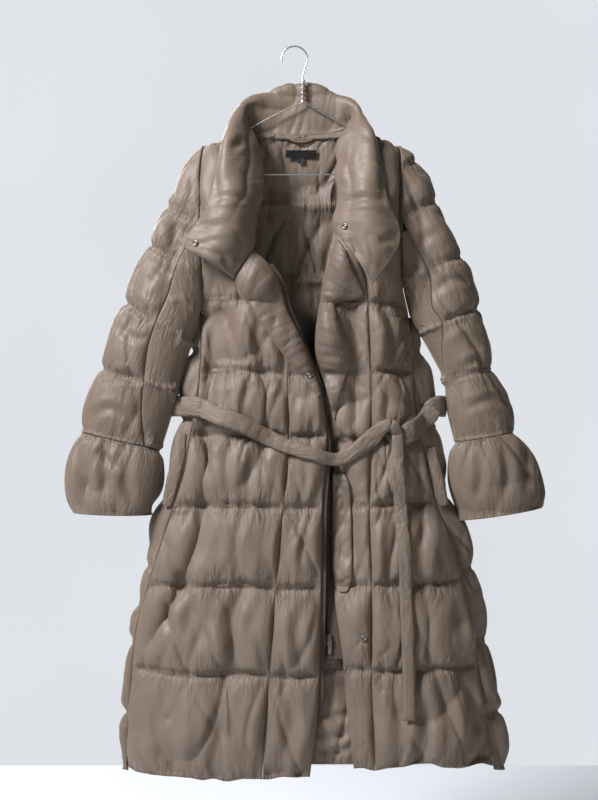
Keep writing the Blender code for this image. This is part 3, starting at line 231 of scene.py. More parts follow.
# Belt runs: centre (x, drop) and half width; half thickness is the same all along.
BELT_HALF_THICK = 4.5
BELT_LEFT = [(-181, 669, 14), (-168, 672, 14), (-135, 686, 12), (-98, 699, 12), (-54, 722, 11),
             (-15, 740, 10), (30, 753, 9), (75, 764, 9), (112, 746, 11), (146, 718, 12),
             (158, 703, 8)]
BELT_END = [(163, 716, 6), (178, 745, 11), (186, 790, 11), (190, 850, 11), (196, 930, 11),
            (199, 1010, 11), (202, 1100, 11), (204, 1226, 11)]
BELT_RIGHT = [(199, 720, 14), (222, 706, 14), (246, 684, 14), (256, 664, 14)]
BELT_BACK_DROP = 668.0
BELT_BACK_HALF = 15.0

# Wind flap below the belt, zips, slider and pull.
FLAP = [(790, 69, 90), (815, 69, 100), (880, 69, 103), (950, 69, 104), (990, 72, 102),
        (1004, 80, 94)]
FLAP_HALF = 4.0
# Inner end of the right front below the zip: its two borders (drop, x, x), its quilting lines,
# and how far behind the front's edge it hangs.
UNDERLAP = [(1112, 40, 100), (1144, 38, 104), (1200, 34, 110), (1260, 28, 116), (1316, 22, 122)]
UNDERLAP_LINES = [1112, 1144, 1316]
UNDERLAP_BEHIND = 15.0
TAPE_REACH = [(410, 8), (515, 8), (570, 4), (700, 4), (770, 9), (1225, 9)]  # drop, past edge
TAPE_THICK = 1.2
TAPE_BEHIND = {"left": 3.0, "right": 3.2}
TAPE_INSET = 3.0
TAPE_LEFT_SPAN = (410, 1225)
TAPE_RIGHT_SPAN = (800, 1126)
TAPE_RIGHT_X = 58.0
SLIDER_X = 63.0
SLIDER_DROP = 1086.0
PIVOT_DROP = 1085.0
PULL_CLEAR = 0.6
SLIDER_CLEAR = 0.8
PULL_TOP = 1.0
SLIDER_SIZE = (9.0, 5.0, 11.0)
PULL_LENGTH = 31.0
PULL_WIDTH = 7.0
PULL_THICK = 1.6

SNAP_RADIUS = 5.5
SNAP_THICK = 2.0
SNAPS = {"collar_left": (-176, 376), "collar_right": (90, 347), "lapel_left": (26, 612),
         "front_right": (124, 1083)}
LABEL = {"width": 58.0, "height": 14.0, "centre": (11.0, 198.0)}
SIZE_TAB = {"width": 13.0, "height": 10.0, "centre": (11.0, 210.8)}
LABEL_THICK = 0.8
HANG_LOOP = [(-9, 170), (0, 173), (12, 174.5), (24, 173), (33, 170)]  # x, drop
POCKET_WELT = {  # x, y, drop
    "left": [(-206, -36, 716), (-212, -40, 760), (-223, -42, 806), (-234, -42, 850)],
    "right": [(249, -34, 744), (255, -38, 780), (263, -40, 815), (273, -40, 850)]}
WELT_HALF_WIDTH = 13.0
WELT_HALF_THICK = 6.0

# Hanger wire: centre line in the plane y = 0 (x, drop).
WIRE_RADIUS = 1.5
HOOK_RADIUS = 24.0
HOOK_CENTRE = (-1.0, 22.5)
NECK_X = 14.0
TWIST_TOP = 62.0
TWIST_BOTTOM = 98.0
TWIST_TURNS = 4
TWIST_RADIUS = 3.7
ARM_LEFT_END = -164.0
ARM_RIGHT_END = 187.0
BAR_DROP = 237.0

# Skin over a stitched line, how far the line is drawn in, how much fuller the cloth is than
# its solid, where a channel is fullest, and the padding of the cuffs and of the back's inside.
SKIN = 1.5
PINCH = 6.0
FULLER = 1.6
BACK_FULLER = 1.05
SLEEVE_FULLER = 1.35
SAG = 1.3
CUFF_PUFF = 7.5
HEM_WAVE = 9.0
SIDE_OUT = 8.0
BACK_LINING = 8.0
BELT_BACK_CLEAR = 18.6

# Troughs that run out from a stitched line: spacing, depth, reach and a number for their noise.
GATHERS = [(34, 6.5, 66, 3), (19, 4.6, 44, 9), (11, 3.0, 30, 15)]

# Troughs placed one by one: depth, half width, then x and drop of each point of the line.
FRONT_CREASES = {
    "left": [
        (22, 24, -138, 400, -134, 520, -128, 640), (4.5, 8, -96, 470, -112, 520, -118, 575),
        (8.0, 13, -92, 1000, -116, 1060, -92, 1145), (7.0, 12, -200, 1010, -176, 1070, -150, 1130),
        (8.0, 14, -240, 1165, -216, 1235, -228, 1325), (6.0, 10, -4, 870, -20, 930, -8, 985),
        (6.0, 10, 24, 1010, 2, 1070, 10, 1140), (6.5, 12, -20, 1160, -6, 1240, -30, 1320),
        (3.5, 7, -60, 500, -70, 545, -66, 590), (4.5, 7, -40, 620, -52, 670, -50, 715),
        (4.0, 6, -84, 628, -92, 662, -86, 696), (3.5, 6, -118, 640, -124, 668, -116, 688),
        (4.0, 6, 6, 640, -4, 690, 2, 735), (3.0, 5, 34, 690, 28, 730, 32, 752),
        (5.5, 8, -108, 712, -122, 760, -120, 820), (4.5, 7, -70, 732, -84, 790, -80, 838),
        (4.0, 7, -30, 752, -34, 800, -44, 842), (3.5, 6, 16, 766, 20, 800, 12, 838),
        (4.5, 8, -140, 700, -156, 748, -160, 800), (4.5, 9, -98, 860, -108, 915, -104, 985),
        (4.5, 10, -180, 1010, -196, 1070, -205, 1140), (4.0, 10, -60, 1005, -84, 1075, -78, 1145),
        (5.0, 10, -230, 1160, -240, 1230, -236, 1320), (5.0, 11, -150, 1160, -140, 1230, -150, 1320),
        (3.5, 9, -90, 1165, -100, 1240, -88, 1310), (3.5, 12, -150, 240, -120, 300, -104, 370),
        (3.0, 10, -158, 330, -134, 380, -126, 440)],
    "right": [
        (20, 20, 104, 440, 112, 600, 106, 720), (13, 20, 116, 780, 110, 900, 116, 985),
        (16, 22, 80, 745, 82, 880, 84, 1010), (3.5, 9, 130, 410, 152, 450, 182, 470),
        (6.5, 11, 240, 870, 222, 930, 230, 985), (6.0, 11, 196, 1000, 214, 1060, 200, 1135),
        (7.5, 13, 214, 1160, 236, 1230, 222, 1310), (6.0, 12, 300, 1160, 316, 1235, 300, 1300),
        (5.5, 10, 152, 470, 170, 530, 160, 595), (4.0, 7, 104, 620, 112, 670, 108, 712),
        (3.5, 7, 160, 610, 166, 650, 160, 700), (4.0, 7, 196, 600, 206, 640, 204, 676),
        (4.0, 7, 150, 760, 148, 800, 158, 842), (5.0, 8, 214, 720, 222, 770, 218, 830),
        (3.5, 8, 168, 870, 164, 930, 170, 985), (4.5, 10, 226, 1000, 238, 1060, 236, 1130),
        (4.0, 10, 286, 1010, 296, 1070, 300, 1135), (4.5, 10, 180, 1155, 188, 1230, 182, 1300),
        (5.0, 11, 260, 1160, 268, 1230, 276, 1305), (3.5, 9, 320, 1170, 326, 1230, 336, 1300),
        (3.5, 11, 168, 250, 140, 300, 124, 360)]}
BACK_CREASES = [
    (5.0, 9, -90, 590, -96, 630, -88, 668), (4.5, 8, -30, 580, -24, 625, -30, 664),
    (4.0, 8, 40, 596, 48, 630, 44, 666), (5.0, 9, 110, 584, 118, 628, 112, 662),
    (3.5, 7, 170, 600, 176, 640, 172, 668), (4.0, 8, -150, 606, -158, 640, -150, 664),
    (4.5, 9, -120, 690, -128, 740, -124, 810), (5.5, 10, -50, 690, -60, 750, -48, 815),
    (4.0, 8, 20, 692, 26, 740, 18, 790), (5.0, 10, 84, 690, 80, 752, 92, 820),
    (4.5, 9, 150, 690, 160, 735, 156, 800), (4.0, 10, -180, 850, -196, 905, -190, 955),
    (3.5, 9, 60, 850, 72, 900, 64, 955), (4.5, 10, -60, 985, -52, 1040, -66, 1095),
    (4.0, 10, 190, 990, 206, 1045, 200, 1095), (4.5, 10, -230, 1120, -240, 1170, -232, 1225),
    (4.5, 10, 10, 1250, 2, 1290, 14, 1338), (4.0, 10, -150, 1250, -160, 1290, -152, 1338),
    (4.5, 10, 170, 1250, 180, 1290, 172, 1338), (3.5, 12, -120, 300, -60, 350, -20, 420),
    (3.5, 12, 140, 300, 90, 360, 50, 425)]
SLEEVE_CREASES = {
    "left": [
        (4.0, 9, -190, 250, -168, 285, -140, 310), (3.5, 8, -236, 320, -206, 350, -172, 362),
        (4.0, 8, -262, 400, -236, 424, -204, 428), (4.5, 8, -300, 470, -262, 500, -216, 505),
        (3.5, 7, -322, 520, -290, 545, -246, 545), (4.5, 8, -336, 620, -300, 612, -256, 630),
        (4.0, 8, -372, 690, -336, 672, -300, 690)],
    "right": [
        (3.5, 8, 214, 262, 190, 290, 168, 322), (3.5, 8, 262, 350, 232, 366, 206, 384),
        (4.0, 8, 310, 440, 280, 440, 252, 460), (4.0, 8, 330, 520, 298, 516, 266, 538),
        (4.0, 8, 360, 590, 330, 586, 296, 606), (4.0, 8, 380, 664, 352, 656, 310, 672)]}
CUFF_CREASES = {
    "left": [
        (6.0, 8, -340, 735, -348, 780, -338, 830), (5.0, 6, -352, 748, -336, 768, -318, 782),
        (4.5, 8, -300, 755, -306, 800, -298, 840), (4.5, 8, -380, 750, -384, 800, -374, 845)],
    "right": [
        (5.0, 8, 330, 745, 338, 790, 330, 840), (5.5, 8, 372, 738, 384, 785, 378, 838),
        (4.5, 8, 414, 740, 424, 780, 420, 830)]}
COLLAR_CREASES = [
    (4.0, 6, -101, 188, -118, 212), (4.5, 6, -150, 392, -128, 400, -122, 428),
    (3.5, 8, -176, 350, -150, 352, -120, 344), (3.5, 7, -140, 300, -118, 296, -92, 300),
    (5.0, 5, 107, 143, 85, 178), (5.0, 7, 96, 302, 126, 298, 152, 304),
    (4.5, 7, 147, 378, 166, 370, 187, 366), (3.5, 6, 104, 376, 118, 400, 134, 440)]

UNDERLAP_PUFF = 9.0
UNDERLAP_CREASES = [
    (4.5, 7, 52, 1222, 74, 1230, 98, 1224), (5.0, 7, 48, 1256, 76, 1266, 104, 1250),
    (5.0, 7, 44, 1284, 72, 1296, 108, 1278)]

# Belt: how much fuller each run is, the arch where the left run turns down into the hanging
# end, and the start of the right run under it: x, y past the run it joins, drop and half width.
BELT_FULLER = {"left": 1.34, "right": 1.32, "end": 1.06, "back": 1.14}
BELT_ARCH = [(150, -5, 712, 10.5), (161, -8, 703, 9.5), (172, -9, 700, 9), (181, -7, 707, 9.5),
             (185, -4, 722, 10)]
BELT_UNDER = [(172, 3, 734, 9), (184, 2, 726, 12)]
KNOT_FULL = 0.7
KNOT_REACH = 26.0

# Zip teeth, slider (part, y and z from its middle, size, bevel), hole of the pull, wire, snaps.
TOOTH_PITCH = 2.4
TOOTH_SIZE = (3.0, 1.5, 1.35)
SLIDER_PARTS = [("body", 1.5, 0.0, (9.0, 2.0, 11.0), 0.9),
                ("front", -0.25, 0.4, (7.74, 1.7, 9.46), 0.8),
                ("bridge", -1.6, 1.0, (2.2, 1.7, 5.5), 0.6)]
PULL_HOLE = 1.6
PULL_BEVEL = 0.35
WIRE_SIDES = 4
SNAP_PROFILE = [  # radius and height as shares of the snap's own
    (0.98, -0.9), (1.0, 0.1), (0.97, 0.55), (0.86, 0.85), (0.70, 0.95), (0.60, 0.80), (0.52, 0.35),
    (0.30, 0.30), (0.26, 0.75), (0.12, 0.9)]

# Stage, in metres: floor, far end of the floor, screen, camera, and the lights (place, target,
# width and height, share of the key light's power, tint).
FLOOR_Z = -1.75
FLOOR_END = 1.3
FLOOR_ROUND = 0.25
SCREEN_Y = 4.3
LENS = 53.2
SENSOR = 36.0
CAMERA_PLACE = (0.0074, -2.2, -0.6566)
LIGHTS = {
    "key": ((-2.0, -1.75, 1.45), (0.0, 0.0, -0.75), (0.9, 0.9), 1.0, "#fbf8ff"),
    "fill": ((1.2, -2.6, -0.1), (0.0, 0.0, -0.7), (1.6, 1.8), 0.04, "#fff4e8"),
    "behind": ((-1.3, 2.3, 0.7), (0.0, 0.0, -0.7), (1.8, 1.8), 0.3, "#f6f8ff")}

# Surfaces worked out once and read by pieces that lie on them.
FRONTS = {}
SURFACES = {}


# ------------------------ curves and outlines
def smooth(table, column, at):
    """Value of a table's column along its first column, on a monotone cubic curve."""
    knots = np.array([row[0] for row in table], float)
    values = np.array([row[column] for row in table], float)
    step = np.diff(knots)
    slope = np.diff(values) / step
    tangent = np.concatenate(([slope[0]], np.zeros(len(slope) - 1), [slope[-1]]))
    product = slope[:-1] * slope[1:]
    rising = product > 0
    total = np.where(rising, slope[:-1] + slope[1:], 1.0)
    tangent[1:-1] = np.where(rising, 2 * product / total, 0.0)
    place = np.clip(np.asarray(at, float), knots[0], knots[-1])
    k = np.clip(np.searchsorted(knots, place, side="right") - 1, 0, len(step) - 1)
    t = (place - knots[k]) / step[k]
    return ((1 + 2 * t) * (1 - t) ** 2 * values[k] + t * (1 - t) ** 2 * step[k] * tangent[k]
            + t * t * (3 - 2 * t) * values[k + 1] + t * t * (t - 1) * step[k] * tangent[k + 1])


def spline(points, samples_per_span):
    """Catmull-Rom curve through a list of points, as an array of positions."""
    p = np.asarray(points, float)
    p = np.vstack((2 * p[0] - p[1], p, 2 * p[-1] - p[-2]))
    t = np.linspace(0, 1, samples_per_span, endpoint=False)[:, None]
    spans = []
    for a, b, c, d in zip(p[:-3], p[1:-2], p[2:-1], p[3:]):
        spans.append(0.5 * (2 * b + (c - a) * t + (2 * a - 5 * b + 4 * c - d) * t ** 2
                            + (3 * b - a - 3 * c + d) * t ** 3))
    return np.vstack(spans + [p[-2][None]])


def spread(curve, count):
    """The same curve at equal steps of its length."""
    length = np.concatenate(([0], np.cumsum(np.linalg.norm(np.diff(curve, axis=0), axis=1))))
    at = np.linspace(0, length[-1], count)
    return np.stack([np.interp(at, length, curve[:, k]) for k in range(curve.shape[1])], -1)


def grid_normals(grid, wrap=False):
    """Unit normals of a grid, crossed from its steps; wrap joins the last column to the first."""
    if wrap:
        across = np.roll(grid, -1, axis=1) - np.roll(grid, 1, axis=1)
    else:
        across = np.gradient(grid, axis=1)
    normal = np.cross(np.gradient(grid, axis=0), across)
    return normal / np.maximum(np.linalg.norm(normal, axis=-1, keepdims=True), 1e-9)


def full_turn(count):
    """Equal steps of one turn."""
    return np.linspace(0, 2 * math.pi, count, endpoint=False)


def side_sign(side):
    """Way out from the middle along x."""
    return -1.0 if side == "left" else 1.0


def top_line_drop(x, drop):
    """Drop of a row at x: the rows near the shoulder follow its slope and then level out."""
    knots = [row[0] for row in TOP_LINE]
    rise = np.interp(x, knots, [row[1] - NECK_DROP for row in TOP_LINE])
    fade = np.clip(1 - (drop - NECK_DROP) / 150.0, 0, 1) ** 2
    return drop + rise * fade


def shoulder_round(drop):
    """Share of the body's depth reached below the shoulder seam, on a quarter circle."""
    t = np.clip((drop - NECK_DROP) / SHOULDER_ROUND, 0, 1)
    return np.sqrt(1 - (1 - t) ** 2)


def armhole_depth(side, drop):
    """Share of the armhole's depth at a drop: an ellipse from shoulder to underarm."""
    bottom = ARMHOLE[side][-1][0]
    t = np.clip((drop - NECK_DROP) / (bottom - NECK_DROP), 0, 1)
    return np.sqrt(np.clip(1 - (2 * t - 1) ** 2, 0, 1))


def front_side_x(side, drop):
    """Outer border of a front: its armhole, then its side seam."""
    bottom = ARMHOLE[side][-1][0]
    return np.where(drop < bottom, smooth(ARMHOLE[side], 1, drop),
                    smooth(SIDE_SEAM[side], 1, drop))


def front_side_y(side, drop):
    """Depth of a front's outer border."""
    bottom = ARMHOLE[side][-1][0]
    return np.where(drop < bottom, -ARM_DEPTH_FRONT * armhole_depth(side, drop),
                    smooth(SIDE_SEAM[side], 2, drop))


def fold_depth(side, x, drop):
    """How far the front's large folds push it back at a point."""
    total = np.zeros(np.broadcast(x, drop).shape)
    for fold in FOLDS[side]:
        line = fold["line"]
        centre = smooth(line, 1, drop)
        span = np.clip((drop - line[0][0]) / 60, 0, 1) * np.clip((line[-1][0] - drop) / 60, 0, 1)
        total = total + fold["depth"] * np.sin(span * math.pi / 2) * np.exp(
            -((x - centre) / fold["half"]) ** 2)
    return total


def front_y(side, x, drop):
    """Middle of a front's wall: flat across, turned back at its free edge and at its side."""
    edge_x = smooth(FRONT_EDGE[side], 1, drop)
    edge_y = smooth(FRONT_EDGE[side], 2, drop)
    side_x = front_side_x(side, drop)
    reach = smooth(FRONT_DEPTH, 1, drop)
    s = np.clip((x - edge_x) / (side_x - edge_x), 0, 1)
    round_up = shoulder_round(drop)
    side_y = front_side_y(side, drop) / np.maximum(round_up, 0.1)
    y = (reach + (edge_y - reach) * np.clip(1 - s / 0.35, 0, 1) ** 2
         + (side_y - reach) * np.clip((s - 0.6) / 0.4, 0, 1) ** 2)
    return y * round_up + fold_depth(side, x, drop) - SHOULDER_GAP_FRONT * (1 - round_up)


def repeated(values, columns):
    """One value a row, the same in every column."""
    return np.repeat(values[:, None], columns, axis=1)


def front_grid(side, rows, inner_x, outer_x, columns):
    """Grid of a front piece between two borders, each an x for every row."""
    s = np.linspace(0, 1, columns)[None, :]
    x = inner_x[:, None] + (outer_x - inner_x)[:, None] * s
    drop = repeated(rows, columns)
    y = front_y(side, x, drop)
    return np.stack((x, y, -top_line_drop(x, drop)), -1)


def outward(grid, side):
    """Columns ordered so that the grid's normals face out of the front."""
    return grid[:, ::-1] if side == "left" else grid


def back_row(drop):
    """Line of the back at one drop, from its left border round to its right border."""
    depth = float(smooth(BACK_DEPTH, 1, drop))
    round_up = float(shoulder_round(drop))
    ends = []
    for side in ("left", "right"):
        sign = side_sign(side)
        if drop < ARMHOLE[side][-1][0]:
            x = float(smooth(ARMHOLE[side], 1, drop))
            y = ARM_DEPTH_BACK * float(armhole_depth(side, drop))
            border = np.array([x - sign * SIDE_GAP, y])
            turn = border + np.array([-sign * 10, (depth * round_up - y) * 0.5])
        else:
            border = np.array([float(smooth(SIDE_SEAM[side], 1, drop)) + sign * SIDE_GAP,
                               float(smooth(SIDE_SEAM[side], 2, drop)) + SIDE_GAP])
            turn = np.array([float(smooth(SIDE_EXTREME[side], 1, drop)) + sign * SIDE_OUT,
                             float(smooth(SIDE_EXTREME[side], 2, drop))])
        corner = np.array([turn[0] - sign * 34, depth * 0.86 * round_up])
        ends.append((border, turn, corner))
    left, right = ends
    middle = [np.array([left[2][0] * (1 - t) + right[2][0] * t, depth]) for t in (0.3, 0.5, 0.7)]
    points = [left[0], left[1], left[2], *middle, right[2], right[1], right[0]]
    keep = [points[0]] + [b for a, b in zip(points[:-1], points[1:])
                          if np.linalg.norm(b - a) > 1.0]
    return np.array(keep) + np.array([0.0, SHOULDER_GAP_BACK * (1 - round_up)])


def back_grid(rows, columns):
    """Grid of the back's wall, its normals facing out."""
    lines = []
    for drop in rows:
        curve = spread(spline(back_row(drop), 10), columns)
        z = -top_line_drop(curve[:, 0], drop)
        lines.append(np.column_stack((curve, z)))
    return np.array(lines)


def row_of(x, drop):
    """Row of the body that passes through a point: undoes the slope of the shoulder line."""
    row = np.array(drop, float)
    for _ in range(4):
        row = row + (drop - top_line_drop(x, row))
    return row


def ring_point(outer, inner, depth, angle):
    """Point on a sleeve's ring; angle 0 is its outer end, a quarter turn its front."""
    centre = (outer + inner) / 2
    reach = (inner - outer) / 2
    flat = centre[:, None, :] - reach[:, None, :] * np.cos(angle)[..., None]
    y = SLEEVE_MID_Y - depth[:, None] * np.sin(angle)
    return np.stack((flat[..., 0], y, -flat[..., 1]), -1)


def sleeve_seam_angles(table):
    """Turns on a sleeve's rings at which its seam and the armhole lie."""
    seam = np.arccos(np.clip(-table[:, 5], -1, 1))
    arm = np.arccos(np.clip(-table[:, 6], -1, 1))
    return seam, arm


def hook_points():
    """Centre line of the hook, from its tip over the top."""
    turn = np.radians(np.linspace(192, -28, 16))
    return [(HOOK_CENTRE[0] + HOOK_RADIUS * math.cos(a), 0.0,
             HOOK_CENTRE[1] - HOOK_RADIUS * math.sin(a)) for a in turn]


def twist_points():
    """Wire's end wound up round the neck."""
    count = 8 * TWIST_TURNS
    turn = np.linspace(0, 2 * math.pi * TWIST_TURNS, count + 1)
    drop = np.linspace(TWIST_BOTTOM, TWIST_TOP, count + 1)
    return [(NECK_X + TWIST_RADIUS * math.cos(a), -TWIST_RADIUS * math.sin(a), d)
            for a, d in zip(turn, drop)]


def hanger_path():
    """Centre line from the hook's tip down the neck, round the frame and up the twist."""
    down = [(17.5, 0, 43), (14.6, 0, 53), (NECK_X, 0, 62), (NECK_X, 0, 80), (NECK_X, 0, 98)]
    left = [(11, 0, 104), (2, 0, 108.5), (-35, 0, 125), (-80, 0, 149), (-104, 0, 162.5),
            (-150, 0, 183.5)]
    left_end = [(ARM_LEFT_END + 5, 0, 189), (ARM_LEFT_END, 0, 197), (ARM_LEFT_END, 0, 218),
                (ARM_LEFT_END + 6, 0, 231), (ARM_LEFT_END + 20, 0, BAR_DROP)]
    bar = [(-60, 0, BAR_DROP), (12, 0, BAR_DROP), (90, 0, BAR_DROP)]
    right_end = [(ARM_RIGHT_END - 20, 0, BAR_DROP), (ARM_RIGHT_END - 6, 0, 231),
                 (ARM_RIGHT_END, 0, 218), (ARM_RIGHT_END, 0, 197), (ARM_RIGHT_END - 5, 0, 189)]
    right = [(173, 0, 183.5), (124, 0, 162.5), (96, 0, 147.5), (62, 0, 127), (32, 0, 111),
             (22, 0, 104)]
    return hook_points() + down + left + left_end + bar + right_end + right + twist_points()


# ------------------------ noise and quilting
def lattice(i, j, seed):
    """Repeatable values from -1 to 1 on whole-number places, from a mixed integer."""
    n = (i * 374761393 + j * 668265263 + seed * 974634777) & 0xFFFFFFFF
    n = ((n ^ (n >> 13)) * 1274126177) & 0xFFFFFFFF
    return ((n ^ (n >> 16)) & 0xFFFF) / 32767.5 - 1.0


def noise(u, v, seed):
    """Value noise: lattice values blended with a smooth step both ways."""
    u, v = np.broadcast_arrays(np.asarray(u, float), np.asarray(v, float))
    i = np.floor(u).astype(np.int64)
    j = np.floor(v).astype(np.int64)
    s = (u - i) ** 2 * (3 - 2 * (u - i))
    t = (v - j) ** 2 * (3 - 2 * (v - j))
    low = lattice(i, j, seed) * (1 - s) + lattice(i + 1, j, seed) * s
    high = lattice(i, j + 1, seed) * (1 - s) + lattice(i + 1, j + 1, seed) * s
    return low * (1 - t) + high * t


def crease(value, width):
    """Narrow trough, nearly a fold at its bottom, where a smooth value passes through zero."""
    return np.exp(-(np.abs(value) / width) ** 1.25)


def channel(v, lines):
    """Which quilting channel each v lies in, its top line, its height and the share passed."""
    lines = np.asarray(lines, float)
    k = np.clip(np.searchsorted(lines, v, side="right") - 1, 0, len(lines) - 2)
    size = lines[k + 1] - lines[k]
    t = np.clip((v - lines[k]) / size, 0, 1)
    return k, size, t


def quilted(u, v, lines, seed, full, gather=1.0, wander=5.0):
    """Height of a down-filled skin above its stitched lines, the share of full swell, nearness.

    Between two lines it is a steep-sided dome, sin(pi t ** SAG) ** 0.42, fullest a little below
    the middle where the down has sunk, and fuller in some places than in others. The lines
    themselves are drawn in. From each line troughs run out, where the cloth is gathered by the
    stitches: each is the zero of a noise along the line, and fades over its own length.
    """
    v = v + wander * noise(u / 95, v / 400, seed) * np.clip((lines[-1] - v) / 80, 0, 1)
    k, size, t = channel(v, lines)
    at_hem = (k == len(lines) - 2) * 1.0
    fullness = 0.92 + 0.22 * noise(u / 85, k * 7.3, seed + 1)
    fullness = fullness + 0.12 * noise(u / 38, v / 42, seed + 2)
    dome = np.sin(math.pi * t ** SAG) ** 0.42
    height = full * dome * fullness
    near = np.zeros(height.shape)
    for distance, line in ((t * size, k), ((1 - t) * size, k + 1)):
        stitched = 1 - at_hem * (line > k)
        height = height - PINCH * np.exp(-(distance / 6) ** 2) * stitched
        near = np.maximum(near, np.exp(-distance / 38))
        for width, depth, reach, place in GATHERS:
            lean = 0.55 * noise(u / 75, line * 3.1, seed + place)
            sway = noise(u / 30, distance / 24, seed + place + 1)
            along = u + lean * distance + 0.3 * width * sway
            wave = noise(along / width, line * 5.7, seed + place + 2)
            longer = np.abs(noise(along / width * 0.6, line * 2.1, seed + place + 3))
            length = reach * (0.35 + 1.1 * longer)
            fade = np.exp(-(distance / length) ** 1.6) * (1 - np.exp(-distance / 2.0))
            height = height - gather * depth * crease(wave, 0.30) * fade
    height = height + dome * drag_folds(u, v, seed)
    return height, dome, near


def wall_heights(height, lining):
    """Heights of both skins over the middle surface, never closer together than the seam."""
    outer = SKIN + height
    return outer, np.maximum(SKIN + lining, 1.6 - outer)


def drag_folds(u, v, seed):
    """Long soft troughs and lumps that cross a channel on the slant."""
    p = u * 0.96 + v * 0.28
    q = v * 0.96 - u * 0.28
    long_ones = crease(noise(p / 58, q / 170, seed + 31), 0.2)
    other_way = crease(noise((u - 0.40 * v) / 62, v / 190, seed + 37), 0.16)
    lumps = noise(u / 46, v / 84, seed + 41)
    return -8.5 * long_ones - 7.0 * other_way + 4.8 * lumps


def hand_creases(x, drop, table):
    """Troughs placed one by one: each follows a line of points and has a ridge along both sides."""
    total = np.zeros(x.shape)
    for depth, half, *line in table:
        points = spline(np.reshape(line, (-1, 2)), 5)
        length = np.linalg.norm(np.diff(points, axis=0), axis=1)
        passed = np.concatenate(([0], np.cumsum(length)))
        best = np.full(x.shape, 1e9)
        along = np.zeros(x.shape)
        for k, (a, b) in enumerate(zip(points[:-1], points[1:])):
            step = b - a
            s = ((x - a[0]) * step[0] + (drop - a[1]) * step[1]) / max(step @ step, 1e-9)
            s = np.clip(s, 0, 1)
            away = np.hypot(x - a[0] - s * step[0], drop - a[1] - s * step[1])
            closer = away < best
            best = np.where(closer, away, best)
            along = np.where(closer, (passed[k] + s * length[k]) / passed[-1], along)
        ends = np.sin(math.pi * np.clip(along, 0.02, 0.98)) ** 0.5
        total -= depth * ends * np.exp(-(best / half) ** 2)
        total += 0.35 * depth * ends * np.exp(-((best - 2.0 * half) / (0.8 * half)) ** 2)
    return total


def border_share(distance, soft=7.0):
    """Share of the height left near a seam: none on it, nearly all two softnesses away."""
    return 1 - np.exp(-np.maximum(distance, 0) / soft)


def across_mm(grid):
    """Distance along each row of a grid from its first column."""
    step = np.linalg.norm(np.diff(grid, axis=1), axis=2)
    return np.concatenate((np.zeros((grid.shape[0], 1)), np.cumsum(step, axis=1)), axis=1)


def down_mm(grid):
    """Distance down the middle column of a grid from its first row, as one value a row."""
    middle = grid[:, grid.shape[1] // 2]
    step = np.linalg.norm(np.diff(middle, axis=0), axis=1)
    return np.concatenate(([0], np.cumsum(step)))[:, None]


def borders(distance):
    """Nearness of a grid's places to its left and right border, as a share of the height."""
    return border_share(distance) * border_share(distance[:, -1:] - distance)


def ruled(first, second, s):
    """Straight lines from each value of one column to that of another, at the shares s."""
    return first * (1 - s) + second * s


def faced(x, y, drop):
    """Grid of points from x, y and drop, each of them spread to the shape of x."""
    return np.stack((x, np.broadcast_to(y, x.shape), -drop), -1)


# ------------------------ meshes
def scene_object(name, data, round_faces=True):
    """Object for a mesh, a lamp or a curve, linked to the scene; a mesh is shaded smooth."""
    if isinstance(data, bpy.types.Mesh) and round_faces:
        data.polygons.foreach_set("use_smooth", np.ones(len(data.polygons), bool))
    item = bpy.data.objects.new(name, data)
    bpy.context.scene.collection.objects.link(item)
    return item


def wall_quads(index, wrap=False, skip=None):
    """Corner numbers of a closed wall's faces: outer cells, inner cells turned round, and rims.

    index holds the point number of each place of the outer grid, and the inner grid's numbers
    follow on. A cell's edge with no partner running the other way is on the border and gets a
    rim face. wrap joins the last column to the first; no cell starts at column skip.
    """
    columns = index.shape[1]
    starts = np.arange(columns if wrap else columns - 1)
    if skip is not None:
        starts = starts[starts != skip]
    ends = (starts + 1) % columns
    top = index[:-1]
    bottom = index[1:]
    outer = np.stack((top[:, starts], bottom[:, starts], bottom[:, ends], top[:, ends]), -1)
    outer = outer.reshape(-1, 4)
    count = index.size
    a = outer.ravel()
    b = np.roll(outer, -1, axis=1).ravel()
    size = 2 * count
    border = ~np.isin(a * size + b, b * size + a)
    rims = np.stack((b[border], a[border], a[border] + count, b[border] + count), -1)
    return np.concatenate((outer, outer[:, ::-1] + count, rims))


def mesh_object(name, points, quads, uv=None, near=None):
    """Mesh object from points in millimetres and rows of four corners, shaded smooth.

    near is each point's nearness to a stitched line, which the cloth's finish reads.
    """
    used, corners = np.unique(quads, return_inverse=True)
    corners = corners.reshape(quads.shape)
    data = bpy.data.meshes.new(name)
    data.from_pydata((points[used] * MM).tolist(), [], corners.tolist())
    if uv is not None:
        layer = data.uv_layers.new(name="cloth")
        layer.data.foreach_set("uv", (uv[used][corners.ravel()] * MM).ravel())
    if near is not None:
        layer = data.attributes.new("near", "FLOAT", "POINT")
        layer.data.foreach_set("value", near[used])
    item = scene_object(name, data)
    data.update()
    return item


def padded_wall(name, grid, outer, inner, uv, wrap=False, skip=None, index=None, normal=None,
                near=0.3):
    """Closed wall on a grid of points, with heights out and in along the grid's normals."""
    if normal is None:
        normal = grid_normals(grid, wrap)
    if index is None:
        index = np.arange(grid.shape[0] * grid.shape[1]).reshape(grid.shape[:2])
    points = np.concatenate(((grid + normal * outer[..., None]).reshape(-1, 3),
            (grid - normal * inner[..., None]).reshape(-1, 3)))
    flat = np.stack(np.broadcast_arrays(*uv), -1).reshape(-1, 2)
    near = np.broadcast_to(near, grid.shape[:2]).ravel()
    return mesh_object(name, points, wall_quads(index, wrap, skip), np.concatenate((flat, flat)),
                       np.concatenate((near, near)))


def dress(item, finish, slot, *nodes, body="coat"):
    """Gives a piece its material and body, and hides the solids it stands for."""
    item.data.materials.append(finish)
    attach(item, body)
    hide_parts(*nodes)
    return item


